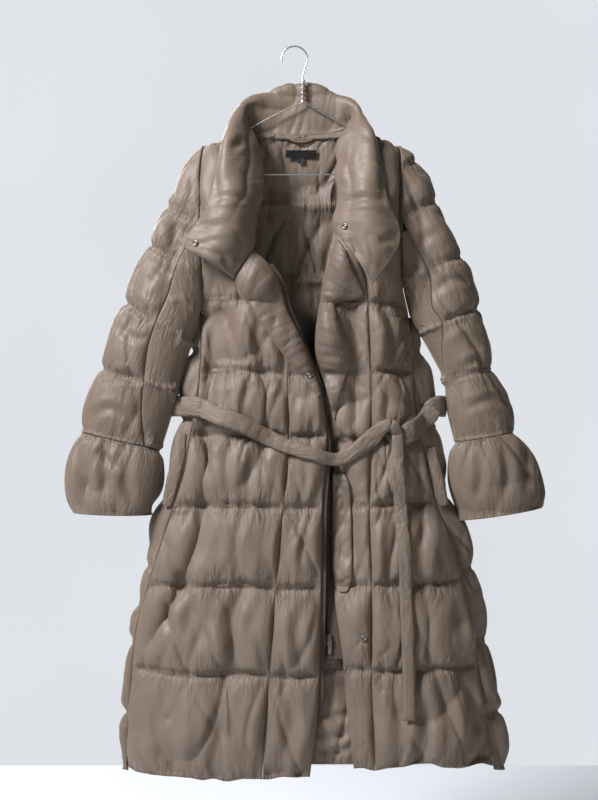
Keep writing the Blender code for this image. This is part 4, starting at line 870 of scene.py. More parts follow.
def soft_piece(item, finish, slot, *nodes, fill=0.6):
    """Dresses a down-filled piece; fill, how full it is, is not used."""
    dress(item, finish, slot, *nodes)


def shell_piece(item, *nodes, fill=0.6):
    """Down-filled piece of the shell's own cloth."""
    soft_piece(item, shell_finish(), "shell_nylon", *nodes, fill=fill)


# ------------------------ body panels
def body_rows(end, step):
    """Rows of the body: a quarter turn over the shoulder, then even steps to the hem."""
    turn = np.linspace(0, math.pi / 2, 22, endpoint=False)
    over = NECK_DROP + SHOULDER_ROUND * (1 - np.cos(turn))
    start = NECK_DROP + SHOULDER_ROUND
    return np.concatenate((over, np.linspace(start, end, int((end - start) / step) + 1)))


def hem_wave(u, above):
    """Uneven rise and fall of a hem, fading out over its last hand's width."""
    wave = noise(u / 62, 0.5, 201) + 0.5 * noise(u / 24, 0.5, 202)
    return HEM_WAVE * wave * np.clip(1 - above / 90, 0, 1)


def snap_dimple(x, drop):
    """Depth of the dimple under the front's snap, with short creases that run out from it."""
    snap_x, snap_drop = SNAPS["front_right"]
    away = np.hypot(x - snap_x, drop - snap_drop)
    turn = np.arctan2(drop - snap_drop, x - snap_x)
    rays = crease(ring_noise(turn, 7, 221), 0.3) * np.exp(-((away - 12) / 16) ** 2)
    return 8.0 * np.exp(-(away / 13) ** 2) + 4.5 * rays


def front_surface(side, placket, step):
    """Middle surface, heights and cloth places of a front panel or its placket."""
    sign = side_sign(side)
    lines = FRONT_LINES[side]
    rows = body_rows(lines[-1], step)
    start = PLACKET_SEAM[side][0][0]
    seam_x = smooth(PLACKET_SEAM[side], 1, rows)
    edge_x = smooth(FRONT_EDGE[side], 1, rows)
    if placket:
        keep = rows > start + 6
        rows, seam_x, edge_x = rows[keep], seam_x[keep], edge_x[keep]
        first, last = edge_x, seam_x - sign * SEAM_GAP / 2
        columns = int(60 / step / 0.72)
    else:
        first = np.where(rows < start, edge_x, seam_x) + sign * SEAM_GAP / 2
        last = front_side_x(side, rows) - sign * SEAM_GAP
        columns = int(190 / step / 0.72)
    grid = outward(front_grid(side, rows, first, last, columns), side)
    u = grid[..., 0]
    v = repeated(rows, columns)
    seed = 11 if side == "left" else 12
    grid[..., 2] += hem_wave(u, lines[-1] - v)
    distance = across_mm(grid)
    share = borders(distance)
    height, dome, near = quilted(u, v, lines, seed, FRONT_PUFF * FULLER)
    height = height + hand_creases(u, -grid[..., 2], FRONT_CREASES[side]) * np.sqrt(dome)
    if side == "right":
        height = height - snap_dimple(u, -grid[..., 2])
    narrow = np.clip(distance[:, -1:] / 60, 0.15, 1.0) if placket else 1.0
    lining, _, _ = quilted(u, v, lines, seed + 60, LINING_PUFF, 0.6)
    outer, inner = wall_heights(height * share * narrow, lining * share * narrow)
    return rows, grid, outer, inner, (u, v), np.maximum(near, np.exp(-distance / 12))


def front_surfaces():
    """Every front panel and placket, worked out once."""
    if not FRONTS:
        step = settings().body_step / MM
        for side in ("left", "right"):
            for placket in (False, True):
                FRONTS[(side, placket)] = front_surface(side, placket, step)
    return FRONTS


def face_of(piece, x, row):
    """Y of a piece's outer face at points of its rows, and which points lie over the piece."""
    rows, grid, outer = piece[:3]
    face = grid + grid_normals(grid) * outer[..., None]
    k = np.clip(np.searchsorted(rows, row, side="right") - 1, 0, len(rows) - 2)
    line = face[k]
    across = line[..., 0]
    c = np.clip((across < x[:, None]).sum(axis=1) - 1, 0, across.shape[1] - 2)
    at = np.arange(len(x))
    start = across[at, c]
    s = np.clip((x - start) / np.maximum(across[at, c + 1] - start, 1e-6), 0, 1)
    y = line[at, c, 1] * (1 - s) + line[at, c + 1, 1] * s
    inside = (x > across[:, 0] - NEAR_FACE) & (x < across[:, -1] + NEAR_FACE)
    return y, inside & (row > rows[0] - NEAR_FACE)


def front_face(side, x, drop):
    """Y of the outer face of a front and its placket at points."""
    row = row_of(x, drop).ravel()
    best = np.full(row.shape, 200.0)
    for placket in (False, True):
        y, inside = face_of(front_surfaces()[(side, placket)], np.asarray(x, float).ravel(), row)
        best = np.where(inside, np.minimum(best, y), best)
    return best.reshape(np.shape(x))


def front_limit(points, slope):
    """Largest y at which points clear the fronts; it falls back past their edges by slope."""
    x = points[..., 0]
    drop = -points[..., 2]
    limit = np.full(x.shape, 200.0)
    for side in ("left", "right"):
        sign = side_sign(side)
        edge = smooth(FRONT_EDGE[side], 1, drop)
        past = np.maximum(sign * (edge - x) - EDGE_MARGIN, 0)
        face = front_face(side, np.where(sign * x < sign * edge, edge, x), drop)
        limit = np.minimum(limit, face - LAY_GAP + past * slope)
    return np.where(row_of(x, drop) > NECK_DROP - 2, limit, 200.0)


def eased(values, times):
    """Values of a grid evened out with their neighbours a number of times."""
    for _ in range(times):
        padded = np.pad(values, 1, mode="edge")
        values = (padded[:-2, 1:-1] + padded[2:, 1:-1] + padded[1:-1, :-2] + padded[1:-1, 2:]
                  + 2 * values) / 6
    return values


def laid_on_fronts(grid, half, slope, ease=6):
    """Grid moved forward where it lies over a front, clear of it by its half thickness."""
    limit = front_limit(grid, slope) - half
    need = np.maximum(grid[..., 1] - limit, 0)
    soft = np.maximum(eased(need, ease), need * 0.85)
    laid = grid.copy()
    laid[..., 1] = grid[..., 1] - soft
    return laid


def build_fronts():
    """Both fronts and their plackets."""
    for (side, placket), (rows, grid, outer, inner, uv, near) in front_surfaces().items():
        name = ("placket_" if placket else "front_") + side
        item = padded_wall(name + "_cloth", grid, outer, inner, uv, near=near)
        shell_piece(item, name)


def build_back():
    """Back panel, one piece round to both side seams; its lining shows at the neck and hem."""
    step = settings().back_step / MM
    rows = body_rows(BACK_LINES[-1], step)
    columns = int(860 / step / 0.75)
    grid = back_grid(rows, columns)[:, ::-1]
    u = across_mm(grid)
    u = u - u[:, -1:] / 2
    v = repeated(rows, columns)
    grid[..., 2] += hem_wave(u, BACK_LINES[-1] - v)
    share = borders(across_mm(grid))
    height, dome, near = quilted(u, v, BACK_LINES, 21, BACK_PUFF * BACK_FULLER)
    height = height + hand_creases(u, v, BACK_CREASES) * np.sqrt(dome)
    lining, _, _ = quilted(u, v, BACK_LINES, 81, BACK_LINING, 0.9)
    outer, inner = wall_heights(height * share, lining * share)
    item = padded_wall("back_cloth", grid, outer, inner, (u, v), near=near)
    shell_piece(item, "back_panel")


def build_pocket_welts():
    """Padded welts let into the side seams, with cross wrinkles."""
    for side in ("left", "right"):
        rows = spline(POCKET_WELT[side], 16)
        path = np.stack((rows[:, 0], rows[:, 1], -rows[:, 2]), -1)
        along = np.linspace(0, 1, len(path))
        taper = 0.55 + 0.45 * np.sin(math.pi * along) ** 0.5
        item = tube("pocket_welt_" + side + "_cloth", path, WELT_HALF_WIDTH * taper,
                    WELT_HALF_THICK * taper, np.array([[1.0, 0.0, 0.0]]), 71, 1.1)
        shell_piece(item, "pocket_welt_" + side)


# ------------------------ sleeves and cuffs
def sleeve_parts(side):
    """Rings of a sleeve, their seam angles, and the lengths at which it is quilted."""
    between = settings().sleeve_rows
    table = spline(SLEEVE[side], between)
    outer = table[:, 0:2]
    inner = table[:, 2:4]
    seam, arm = sleeve_seam_angles(table)
    step = np.linalg.norm(np.diff((outer + inner) / 2, axis=0), axis=1)
    length = np.concatenate(([0], np.cumsum(step)))
    marks = [0] + SLEEVE_LINES[side] + [len(SLEEVE[side]) - 1]
    lines = [length[int(m * between)] for m in marks]
    return outer, inner, table[:, 4], seam, arm, length, lines


def build_sleeves():
    """Upper sleeves over the shoulder, each with its under sleeve."""
    for side in ("left", "right"):
        outer, inner, depth, seam, arm, length, lines = sleeve_parts(side)
        radius = np.maximum(np.linalg.norm(inner - outer, axis=1) / 2, 8)
        gap = SEAM_GAP / radius
        columns = settings().sleeve_columns
        angle = (seam - gap)[:, None] * np.linspace(1, -1, columns)[None, :]
        grid = ring_point(outer, inner, depth, angle)
        if side == "left":
            grid = grid[:, ::-1]
        u = across_mm(grid)
        u = u - u[:, -1:] / 2
        v = repeated(length, columns)
        cap = np.clip(length / 130, 0.02, 1)[:, None] ** 0.6
        share = borders(across_mm(grid)) * cap
        seed = 31 if side == "left" else 32
        height, dome, near = quilted(u, v, lines, seed, SLEEVE_PUFF * SLEEVE_FULLER, 0.9)
        height = height + hand_creases(grid[..., 0], -grid[..., 2], SLEEVE_CREASES[side]) * (
            np.sqrt(dome) * (grid[..., 1] < SLEEVE_MID_Y))
        outer_skin, inner_skin = wall_heights(height * share, 2 * share)
        item = padded_wall("sleeve_upper_" + side + "_cloth", grid, outer_skin, inner_skin,
                           (u, v), near=near)
        shell_piece(item, "sleeve_upper_" + side)
        build_under_sleeve(side, (outer, inner, depth, seam + gap, arm, length, lines))


def build_under_sleeve(side, rings):
    """Under sleeve: two halves from the seams to the armhole, joined below the underarm."""
    outer, inner, depth, seam, arm, length, lines = rings
    open_rows = arm < math.pi - 1e-3
    first = int(np.argmax(arm - seam > 0.12))
    half = settings().sleeve_columns // 2
    t = np.linspace(0, 1, half)[None, :]
    end = np.where(open_rows, arm, math.pi)[:, None]
    front = seam[:, None] + (end - seam[:, None]) * t
    back = 2 * math.pi - front[:, ::-1]
    angle = np.concatenate((front, back), axis=1)[first:]
    grid = ring_point(outer[first:], inner[first:], depth[first:], angle)
    closed = ~open_rows[first:]
    middle = slice(half - 1, half + 1)
    grid[closed, middle] = grid[closed, middle].mean(axis=1, keepdims=True)
    if side == "left":
        grid = grid[:, ::-1]
    u = across_mm(grid)
    u = u - u[:, half:half + 1]
    v = np.repeat(length[first:, None], 2 * half, axis=1)
    seam_side = borders(across_mm(grid))
    inner_side = np.where(closed[:, None], 1.0, border_share(np.abs(u)))
    height, dome, near = quilted(u, v, lines, 41 if side == "left" else 42, SLEEVE_PUFF * 1.4)
    share = seam_side * inner_side
    joined = np.concatenate((grid[:, :half], grid[:, half + 1:]), axis=1)
    normal = grid_normals(joined)
    normal = np.concatenate((normal[:, :half], normal[:, half - 1:half], normal[:, half:]), axis=1)
    index = np.arange(grid.shape[0] * grid.shape[1]).reshape(grid.shape[:2])
    index[closed, half] = index[closed, half - 1]
    outer_skin, inner_skin = wall_heights(height * share, share)
    item = padded_wall("sleeve_under_" + side + "_cloth", grid, outer_skin, inner_skin, (u, v),
                       skip=half - 1, index=index, normal=normal, near=near)
    shell_piece(item, "sleeve_under_" + side)


def build_cuffs():
    """Wide cuffs: gathered at the seam and the hem, with soft lengthwise folds between."""
    for side in ("left", "right"):
        table = spline(CUFF[side], 12)
        columns = 170
        turn = full_turn(columns)[None, :]
        angle = np.repeat(turn, len(table), axis=0)
        grid = ring_point(table[:, 0:2], table[:, 2:4], table[:, 4], angle)
        seed = 51 if side == "left" else 52
        if side == "right":
            grid = grid[:, ::-1]
            angle = angle[:, ::-1]
        v = repeated(down_mm(grid)[:, 0], columns)
        u = angle * 72
        size = v[-1, 0]
        gather = np.zeros(u.shape)
        for distance, place, reach in ((v, 1, 46), (size - v, 2, 30)):
            for count, depth, shorter in ((9, 6.0, 1.2), (21, 3.0, 0.6), (40, 1.3, 0.3)):
                sway = noise(np.sin(angle) * 1.5, np.cos(angle) * 1.5, seed + place)
                lean = 0.012 * distance * sway
                wave = ring_noise(angle + lean, count, seed + place + 7)
                fade = np.exp(-(distance / (reach * shorter)) ** 1.5)
                fade = fade * (1 - np.exp(-distance / 1.5))
                gather -= depth * crease(wave, 0.3) * fade
        dome = np.sin(math.pi * np.clip(v / size, 0, 1)) ** 0.33
        soft = 3.0 * ring_noise(angle + v * 0.004, 4, seed + 20) * dome
        full = dome * (CUFF_PUFF + soft) + gather
        full += dome * drag_folds(u, v, seed)
        full += hand_creases(grid[..., 0], -grid[..., 2], CUFF_CREASES[side]) * (
            dome * (grid[..., 1] < SLEEVE_MID_Y))
        lining = dome * 4.0 + 0.5 * dome * ring_noise(angle, 20, seed + 30)
        outer, inner = wall_heights(full, lining)
        near = np.exp(-np.minimum(v, size - v) / 38)
        item = padded_wall("cuff_" + side + "_cloth", grid, outer, inner, (u, v), wrap=True,
                           near=near)
        shell_piece(item, "cuff_" + side)


def ring_noise(angle, count, seed):
    """Noise that meets itself after a full turn, with about count waves in the turn."""
    place = angle / (2 * math.pi) * count
    i = np.floor(place).astype(np.int64)
    s = (place - i) ** 2 * (3 - 2 * (place - i))
    zero = np.zeros_like(i)
    return lattice(i % count, zero, seed) * (1 - s) + lattice((i + 1) % count, zero, seed) * s


# ------------------------ seams between pieces
def seam_strip(name, first, second, sink, lap):
    """Narrow strip of seam allowance from one border curve to another, sunk behind both."""
    s = np.linspace(-lap, 1 + lap, 8)[None, :, None]
    grid = ruled(first[:, None], second[:, None], s)
    uneven = 1 + 0.3 * noise(np.arange(len(grid)) / 9, 0.5, 141)
    grid = grid - grid_normals(grid) * (sink * uneven)[:, None, None]
    half = np.full(grid.shape[:2], 1.0)
    item = padded_wall(name, grid, half, half, (across_mm(grid), down_mm(grid)), near=0.8)
    shell_piece(item, fill=0.1)


def build_armhole_seams():
    """Strips that close the armhole seams, on the front and on the back of each shoulder."""
    for side in ("left", "right"):
        outer, inner, depth, _, arm, _, _ = sleeve_parts(side)
        rows = body_rows(FRONT_LINES[side][-1], 6.0)
        x = front_side_x(side, rows)
        front_border = faced(x, front_y(side, x, rows), top_line_drop(x, rows))
        back_border = back_grid(rows, 40)[:, 0 if side == "left" else -1]
        last = int(np.argmax(arm > math.pi - 0.35))
        strips = (("front", arm, front_border, 4, 0.6, 0.1),
                  ("back", 2 * math.pi - arm, back_border, 2, 0.3, 0.35))
        for place, angle, border, top, sink, lap in strips:
            sleeve = ring_point(outer, inner, depth, angle[:, None])[:last, 0]
            z = np.clip(sleeve[:, 2], border[:, 2].min(), border[:, 2].max())
            order = np.argsort(border[:, 2])
            body = [np.interp(z, border[order, 2], border[order, k]) for k in range(3)]
            body = np.stack(body, -1)
            facing = (side == "right") == (place == "front")
            first, second = (body, sleeve) if facing else (sleeve, body)
            seam_strip("armhole_" + place + "_" + side, first[top:], second[top:], sink, lap)


def build_neck_roll():
    """Bound neck seam, a narrow roll between the back and the collar."""
    x = np.linspace(-100, 119, 60)
    arch = np.sin(math.pi * np.clip((x + 102) / 222, 0, 1)) ** 0.5
    path = np.stack((x, 2 + 9.0 * arch, -(top_line_drop(x, np.full(x.shape, NECK_DROP)) - 1.0)), -1)
    item = tube("neck_seam_roll", path, np.full(60, 7.5), np.full(60, 3.2),
                np.array([[0.0, 0.6, 0.8]]), 151, 0.8)
    shell_piece(item, fill=0.4)


# ------------------------ collar and lapels
def collar_surface():
    """Collar's middle surface: a curve through each station, then a curve from end to end."""
    columns = settings().collar_columns
    lines = []
    for row in COLLAR:
        points = [(x, y, -drop) for x, y, drop in row]
        lines.append(spread(spline(points, 10), columns))
    coarse = np.array(lines)
    fine = spline(coarse.reshape(len(COLLAR), -1), settings().collar_rows)
    return fine.reshape(len(fine), columns, 3)


def build_collar():
    """Tall padded band: full over the roll, drawn in at the neck seam and at listed pinches."""
    grid = collar_surface()
    rows, columns = grid.shape[:2]
    across = np.sin(math.pi * np.linspace(0.03, 0.975, columns)) ** 0.5
    u = repeated(down_mm(grid)[:, 0], columns)
    v = across_mm(grid)
    ends = border_share(u, 6) * border_share(u[-1:] - u, 6)
    base = COLLAR_EDGE_HALF + (COLLAR_HALF - COLLAR_EDGE_HALF) * across[None, :] * ends
    grid = laid_on_fronts(grid, base, EDGE_SLOPE)
    width = v[:, -1:]
    height = 3.4 * noise(u / 58, v / 62, 61) + 0.6 * noise(u / 26, v / 34, 62)
    for distance, place in ((v, 1), (width - v, 2)):
        for wide, depth, reach in ((24, 3.6, 40), (12, 1.6, 18)):
            lean = 0.6 * noise(u / 80, 0.5, 63 + place)
            wave = noise((u + lean * distance) / wide, place * 4.4, 65 + place)
            height -= depth * crease(wave, 0.25) * np.exp(-(distance / reach) ** 1.5) * (
                1 - np.exp(-distance / 3))
    height -= 3.4 * crease(noise((u + 0.5 * v) / 105, v / 120, 67), 0.12)
    height -= 2.6 * crease(noise((u - 0.7 * v) / 88, v / 140, 68), 0.10)
    front = grid[..., 1] < -20
    height += hand_creases(grid[..., 0], -grid[..., 2], COLLAR_CREASES) * front
    height = height * ends * across[None, :]
    inner = np.maximum(base - 0.3, 0.8)
    outer = np.maximum(base + height, 0.8)
    SURFACES["collar"] = (grid, outer)
    item = padded_wall("collar_cloth", grid, outer, inner, (u, v), near=0.08)
    shell_piece(item, "collar")


def build_lapels():
    """Turned-out upper edges of the fronts, puckered along the fold and the free edge."""
    for side in ("left", "right"):
        between = 14
        columns = 22
        fold = spline([(*row[0], row[2]) for row in LAPEL[side]], between)
        free = spline([(*row[1], row[2]) for row in LAPEL[side]], between)
        s = np.linspace(0, 1, columns)[None, :]
        x = ruled(fold[:, :1], free[:, :1], s)
        drop = ruled(fold[:, 1:2], free[:, 1:2], s)
        swell = (1 - np.abs(2 * s - 1) ** 2.4) ** 0.5
        half = 1.0 + fold[:, 2:3] * swell
        grid = faced(x, -40.0, drop)
        if side == "left":
            grid = grid[:, ::-1]
            half = half[:, ::-1]
        grid = laid_on_fronts(grid, half, EDGE_SLOPE)
        v = repeated(down_mm(grid)[:, 0], columns)
        u = across_mm(grid)
        ends = border_share(v, 5) * border_share(v[-1:] - v, 5)
        height = 1.2 * noise(u / 20, v / 26, 91)
        height -= 3.0 * crease(noise(v / 20 + u / 90, 0.5, 92), 0.22)
        height -= 1.6 * crease(noise(v / 9 - u / 60, 2.5, 93), 0.25)
        height = height * swell * ends
        half = half * (0.5 + 0.5 * ends)
        outer = np.maximum(half + height, 0.8)
        SURFACES["lapel_" + side] = (grid, outer)
        item = padded_wall("lapel_" + side + "_cloth", grid, outer, half, (u, v))
        # The lapels take the nylon painted darker as painted shade.
        soft_piece(item, shaded_facing_finish(), "facing_nylon", "lapel_" + side)


# ------------------------ belt, flap and welts
def tube(name, path, half_width, half_thick, across, seed, wrinkle, sides=26, start=0.0):
    """Flat padded tube along a path, its section a rounded oblong, with folds along and across.

    The section is |x|^p + |y|^p = 1 with p about 2.6; troughs run along it on a slow noise of
    the turn, and short cross wrinkles ring it on a noise of the length.
    """
    step = np.gradient(path, axis=0)
    length = np.concatenate(([0], np.cumsum(np.linalg.norm(np.diff(path, axis=0), axis=1))))
    along = step / np.linalg.norm(step, axis=1, keepdims=True)
    wide = across - along * np.sum(across * along, axis=1, keepdims=True)
    wide /= np.linalg.norm(wide, axis=1, keepdims=True)
    thick = np.cross(along, wide)
    turn = full_turn(sides)[None, :]
    bend = 2 / 2.6
    c = np.sign(np.cos(turn)) * np.abs(np.cos(turn)) ** bend
    s = np.sign(np.sin(turn)) * np.abs(np.sin(turn)) ** bend
    v = length[:, None] + start
    uneven = 1 + 0.10 * noise(turn * 1.3 + v / 55, v / 34, seed)
    uneven = uneven - 0.16 * wrinkle * crease(noise(v / 17, turn * 0.7, seed + 1), 0.2)
    uneven = uneven - 0.12 * wrinkle * crease(noise(turn * 2.1 + v / 60, v / 80, seed + 2), 0.2)
    a = (half_width[:, None] * c * (1 + 0.4 * (uneven - 1)))[..., None]
    b = (half_thick[:, None] * s * uneven)[..., None]
    rings = path[:, None] + wide[:, None] * a + thick[:, None] * b
    points, quads = capped(rings)
    uv = np.stack(np.broadcast_arrays(turn * half_width[:, None] * 0.7, v), -1).reshape(-1, 2)
    uv = np.concatenate((uv, np.repeat(uv[:1], len(points) - len(uv), axis=0)))
    item = mesh_object(name, points, quads, uv, np.full(len(points), 0.6))
    outward_faces(item)
    return item


def capped(rings):
    """Points and faces of stacked rings, both ends closed by a small ring and a middle."""
    rows, columns = rings.shape[:2]
    index = np.arange(rows * columns).reshape(rows, columns)
    around = np.roll(index, -1, axis=1)
    quads = np.stack((index[:-1], around[:-1], around[1:], index[1:]), -1).reshape(-1, 4)
    points = rings.reshape(-1, 3)
    for row in (0, rows - 1):
        middle = rings[row].mean(axis=0)
        small = middle + (rings[row] - middle) * 0.45
        start = len(points)
        points = np.concatenate((points, small, middle[None]))
        edge = row * columns + np.arange(columns)
        near = start + np.arange(columns)
        ring = np.stack((edge, np.roll(edge, -1), np.roll(near, -1), near), -1)
        odd = near[0::2]
        after = np.roll(near, -1)[0::2]
        last = np.roll(near, -2)[0::2]
        hub = np.full(len(odd), start + columns)
        quads = np.concatenate((quads, ring, np.stack((odd, after, last, hub), -1)))
    return points, quads


def outward_faces(item):
    """Turns every face of a closed mesh to point out."""
    shape = bmesh.new()
    shape.from_mesh(item.data)
    bmesh.ops.recalc_face_normals(shape, faces=shape.faces)
    shape.to_mesh(item.data)
    shape.free()


def belt_route(table):
    """Belt run laid on the fronts, its section clear of the cloth all over its width."""
    rows = spline(table, 12)
    across = np.linspace(1, -1, 5)
    thick = BELT_HALF_THICK * BELT_FULLER["left"] * np.sqrt(1 - across ** 2)
    half = np.repeat(thick[None, :], len(rows), axis=0)
    step = np.gradient(rows[:, :2], axis=0)
    upright = np.abs(step[:, 1]) > np.abs(step[:, 0])
    x = rows[:, :1] - np.where(upright, rows[:, 2], 0.0)[:, None] * across
    drop = rows[:, 1:2] + np.where(upright, 0.0, rows[:, 2])[:, None] * across
    grid = faced(x, -30.0, drop)
    limit = (front_limit(grid, BELT_SLOPE) - half).min(axis=1)
    reach = eased(limit[:, None], 30)[:, 0]
    reach = np.minimum(reach, limit + 2.0)
    reach = eased(np.minimum(reach, -30.0)[:, None], 12)[:, 0]
    return np.stack((rows[:, 0], reach, -rows[:, 1]), -1), rows[:, 2]


def belt_behind():
    """Path of the belt round the back, clear of the quilting, and its half width."""
    row = spread(spline(back_row(BELT_BACK_DROP), 10), 13)
    row = spread(spline(row, 10), 121)
    middle = np.array([row[:, 0].mean(), -10.0])
    step = np.gradient(row, axis=0)
    out = np.stack((-step[:, 1], step[:, 0]), -1)
    out /= np.linalg.norm(out, axis=1, keepdims=True)
    out *= np.sign(np.sum(out * (row - middle), axis=1, keepdims=True))
    behind = (row + out * BELT_BACK_CLEAR)[8:-8]
    behind = np.column_stack((behind, np.full(len(behind), -BELT_BACK_DROP)))
    return behind, np.full(len(behind), BELT_BACK_HALF)


def build_belt():
    """Belt round the waist: one path behind, one over each side, and the end that hangs.

    The left run, the arch of the knot and the hanging end are one line cut in two on one ring.
    """
    flat_up = np.array([[0.0, 0.0, 1.0]])
    behind, behind_half = belt_behind()
    left, left_half = belt_route(BELT_LEFT)
    right, right_half = belt_route(BELT_RIGHT)
    hanging, hanging_half = belt_route(BELT_END)
    left, left_half = joined(behind[2::-1], behind_half[:3], left[4:-14], left_half[4:-14])
    right, right_half = joined(right[:-4], right_half[:-4], behind[:-4:-1],
            behind_half[-3:])
    arch = np.array(BELT_ARCH, float)
    arch_path = np.stack((arch[:, 0], arch[:, 1] + hanging[0, 1], -arch[:, 2]), -1)
    left, left_half = joined(left[::2], left_half[::2], arch_path, arch[:, 3])
    line, line_half = joined(left[::2], left_half[::2], hanging[20:], hanging_half[20:])
    under = np.array(BELT_UNDER, float)
    under_path = np.stack((under[:, 0], under[:, 1] + right[0, 1], -under[:, 2]), -1)
    right, right_half = joined(under_path, under[:, 3], right, right_half)
    cut = int(np.argmin(np.linalg.norm(line - arch_path[2], axis=1)))
    length = np.concatenate(([0], np.cumsum(np.linalg.norm(np.diff(line, axis=0), axis=1))))
    bunched = 1 + KNOT_FULL * np.exp(-((length - length[cut]) / KNOT_REACH) ** 2)
    across = turned_across(line)
    runs = (("left", slice(0, cut + 1), 0.0), ("end", slice(cut, None), length[cut]))
    for name, part, start in runs:
        share = np.interp(length[part] - length[cut], (-60, 60),
                          (BELT_FULLER["left"], BELT_FULLER["end"]))
        free = length[-1] - length[part]
        taper = border_share(free, 3) if name == "end" else 1.0
        thick = BELT_HALF_THICK * share * bunched[part] * (0.3 + 0.7 * taper)
        item = tube("belt_" + name + "_cloth", line[part], line_half[part] * share, thick,
                    across[part], 101, 1.3, start=start)
        shell_piece(item, "belt_" + name, fill=0.4)
    for name, path, half, seed in (("right", right, right_half, 102),
            ("back", behind, behind_half, 104)):
        thick = BELT_HALF_THICK * BELT_FULLER[name] * np.sin(
            math.pi * np.linspace(0.06, 0.94, len(path))) ** 0.15
        item = tube("belt_" + name + "_cloth", path, half * BELT_FULLER[name], thick, flat_up,
                    seed, 1.3)
        shell_piece(item, "belt_" + name, fill=0.4)


def turned_across(path):
    """Unit vectors across a path in the upright plane, on its left as it runs."""
    step = np.gradient(path, axis=0)
    across = np.cross(step, (0.0, 1.0, 0.0))
    return across / np.linalg.norm(across, axis=1, keepdims=True)


def joined(first, first_half, second, second_half):
    """One smooth path and half width through two runs and the gap between them."""
    keys = np.column_stack((np.vstack((first, second)), np.concatenate((first_half, second_half))))
    curve = spread(spline(keys, 4), 2 * len(keys))
    return curve[:, :3], curve[:, 3]


def build_flap():
    """Narrow padded wind flap on the right front's edge, below the belt."""
    rows = spline(FLAP, 16)
    columns = 16
    s = np.linspace(0, 1, columns)[None, :]
    x = ruled(rows[:, 1:2], rows[:, 2:3], s)
    drop = repeated(rows[:, 0], columns)
    swell = (1 - np.abs(2 * s - 1) ** 2.4) ** 0.5
    half = 1.2 + FLAP_HALF * swell * np.ones((len(rows), 1))
    grid = laid_on_fronts(faced(x, -30.0, drop), half, EDGE_SLOPE)
    u = across_mm(grid)
    v = repeated(down_mm(grid)[:, 0], columns)
    ends = border_share(v, 4) * border_share(v[-1:] - v, 4)
    height = -4.0 * crease(noise(v / 22 + u / 40, u / 40, 111), 0.24)
    height = height + 2.0 * noise(u / 16, v / 24, 112)
    height = height - 2.2 * crease(noise(v / 11 - u / 30, u / 30, 113), 0.24)
    half = half * (0.35 + 0.65 * ends)
    item = padded_wall("wind_flap_cloth", grid, half + height * swell * ends, half, (u, v))
    shell_piece(item, "wind_flap", fill=0.5)


def build_underlap():
    """Padded inner end of the right front, seen between the two edges below the zip."""
    rows = spline(UNDERLAP, 18)
    columns = 34
    s = np.linspace(0, 1, columns)[None, :]
    x = ruled(rows[:, 1:2], rows[:, 2:3], s)
    drop = repeated(rows[:, 0], columns)
    grid = faced(x, smooth(FRONT_EDGE["right"], 2, drop) + UNDERLAP_BEHIND, drop)
    share = borders(across_mm(grid))
    height, dome, near = quilted(x, drop, UNDERLAP_LINES, 211, UNDERLAP_PUFF, 0.6)
    height = height + hand_creases(x, drop, UNDERLAP_CREASES) * np.sqrt(dome)
    outer, inner = wall_heights(height * share, 4.0 * dome * share)
    item = padded_wall("underlap_cloth", grid, outer, inner, (x, drop), near=near)
    shell_piece(item, "underlap", fill=0.5)


# ------------------------ small pieces
def boxes_mesh(name, centres, axes, sizes):
    """Many small eight-cornered boxes as one mesh; axes holds three unit vectors for each box."""
    corner = np.array([(x, y, z) for x in (-1, 1) for y in (-1, 1) for z in (-1, 1)], float)
    corner = corner * np.array(sizes) / 2
    points = centres[:, None] + np.einsum("ck,nkj->ncj", corner, axes)
    sides = np.array([(0, 1, 3, 2), (4, 6, 7, 5), (0, 4, 5, 1), (2, 3, 7, 6), (0, 2, 6, 4),
                      (1, 5, 7, 3)])
    quads = (np.arange(len(centres))[:, None, None] * 8 + sides[None]).reshape(-1, 4)
    item = mesh_object(name, points.reshape(-1, 3), quads)
    outward_faces(item)
    return item


def tape_y(side, drop):
    """Zip tapes lie just behind the inner face of the fronts' edges."""
    return smooth(FRONT_EDGE[side], 2, drop) + TAPE_BEHIND[side]


def build_tape(side, rows, far_x):
    """Woven tape behind a front's free edge, and its row of teeth along the tape's own edge."""
    sign = side_sign(side)
    near_x = smooth(FRONT_EDGE[side], 1, rows) + sign * TAPE_INSET
    s = np.linspace(0, 1, 7)[None, :]
    x = ruled(near_x[:, None], far_x[:, None], s)
    y = repeated(tape_y(side, rows), 7)
    y = y + 0.5 * noise(rows / 40, 0.5, 121)[:, None] * s
    drop = repeated(rows, 7)
    grid = faced(x, y, drop)
    if side == "right":
        grid = grid[:, ::-1]
    half = np.full(x.shape, TAPE_THICK / 2)
    tape = padded_wall("zip_tape_" + side + "_cloth", grid, half, half, (x, drop))
    dress(tape, tape_finish(), "zip_tape", "zip_tape_" + side)
    place = np.arange(rows[0] + 2, rows[-1] - 2, TOOTH_PITCH)
    edge = np.interp(place, rows, far_x) + sign * TOOTH_SIZE[0] * 0.3
    centres = np.stack((edge, np.interp(place, rows, y[:, -1]), -place), -1)
    centres[:, 1] -= 0.55
    axes = np.repeat(np.eye(3)[None], len(centres), axis=0)
    teeth = boxes_mesh("zip_teeth_" + side, centres, axes, TOOTH_SIZE)
    dress(teeth, tooth_finish(), "zip_metal")


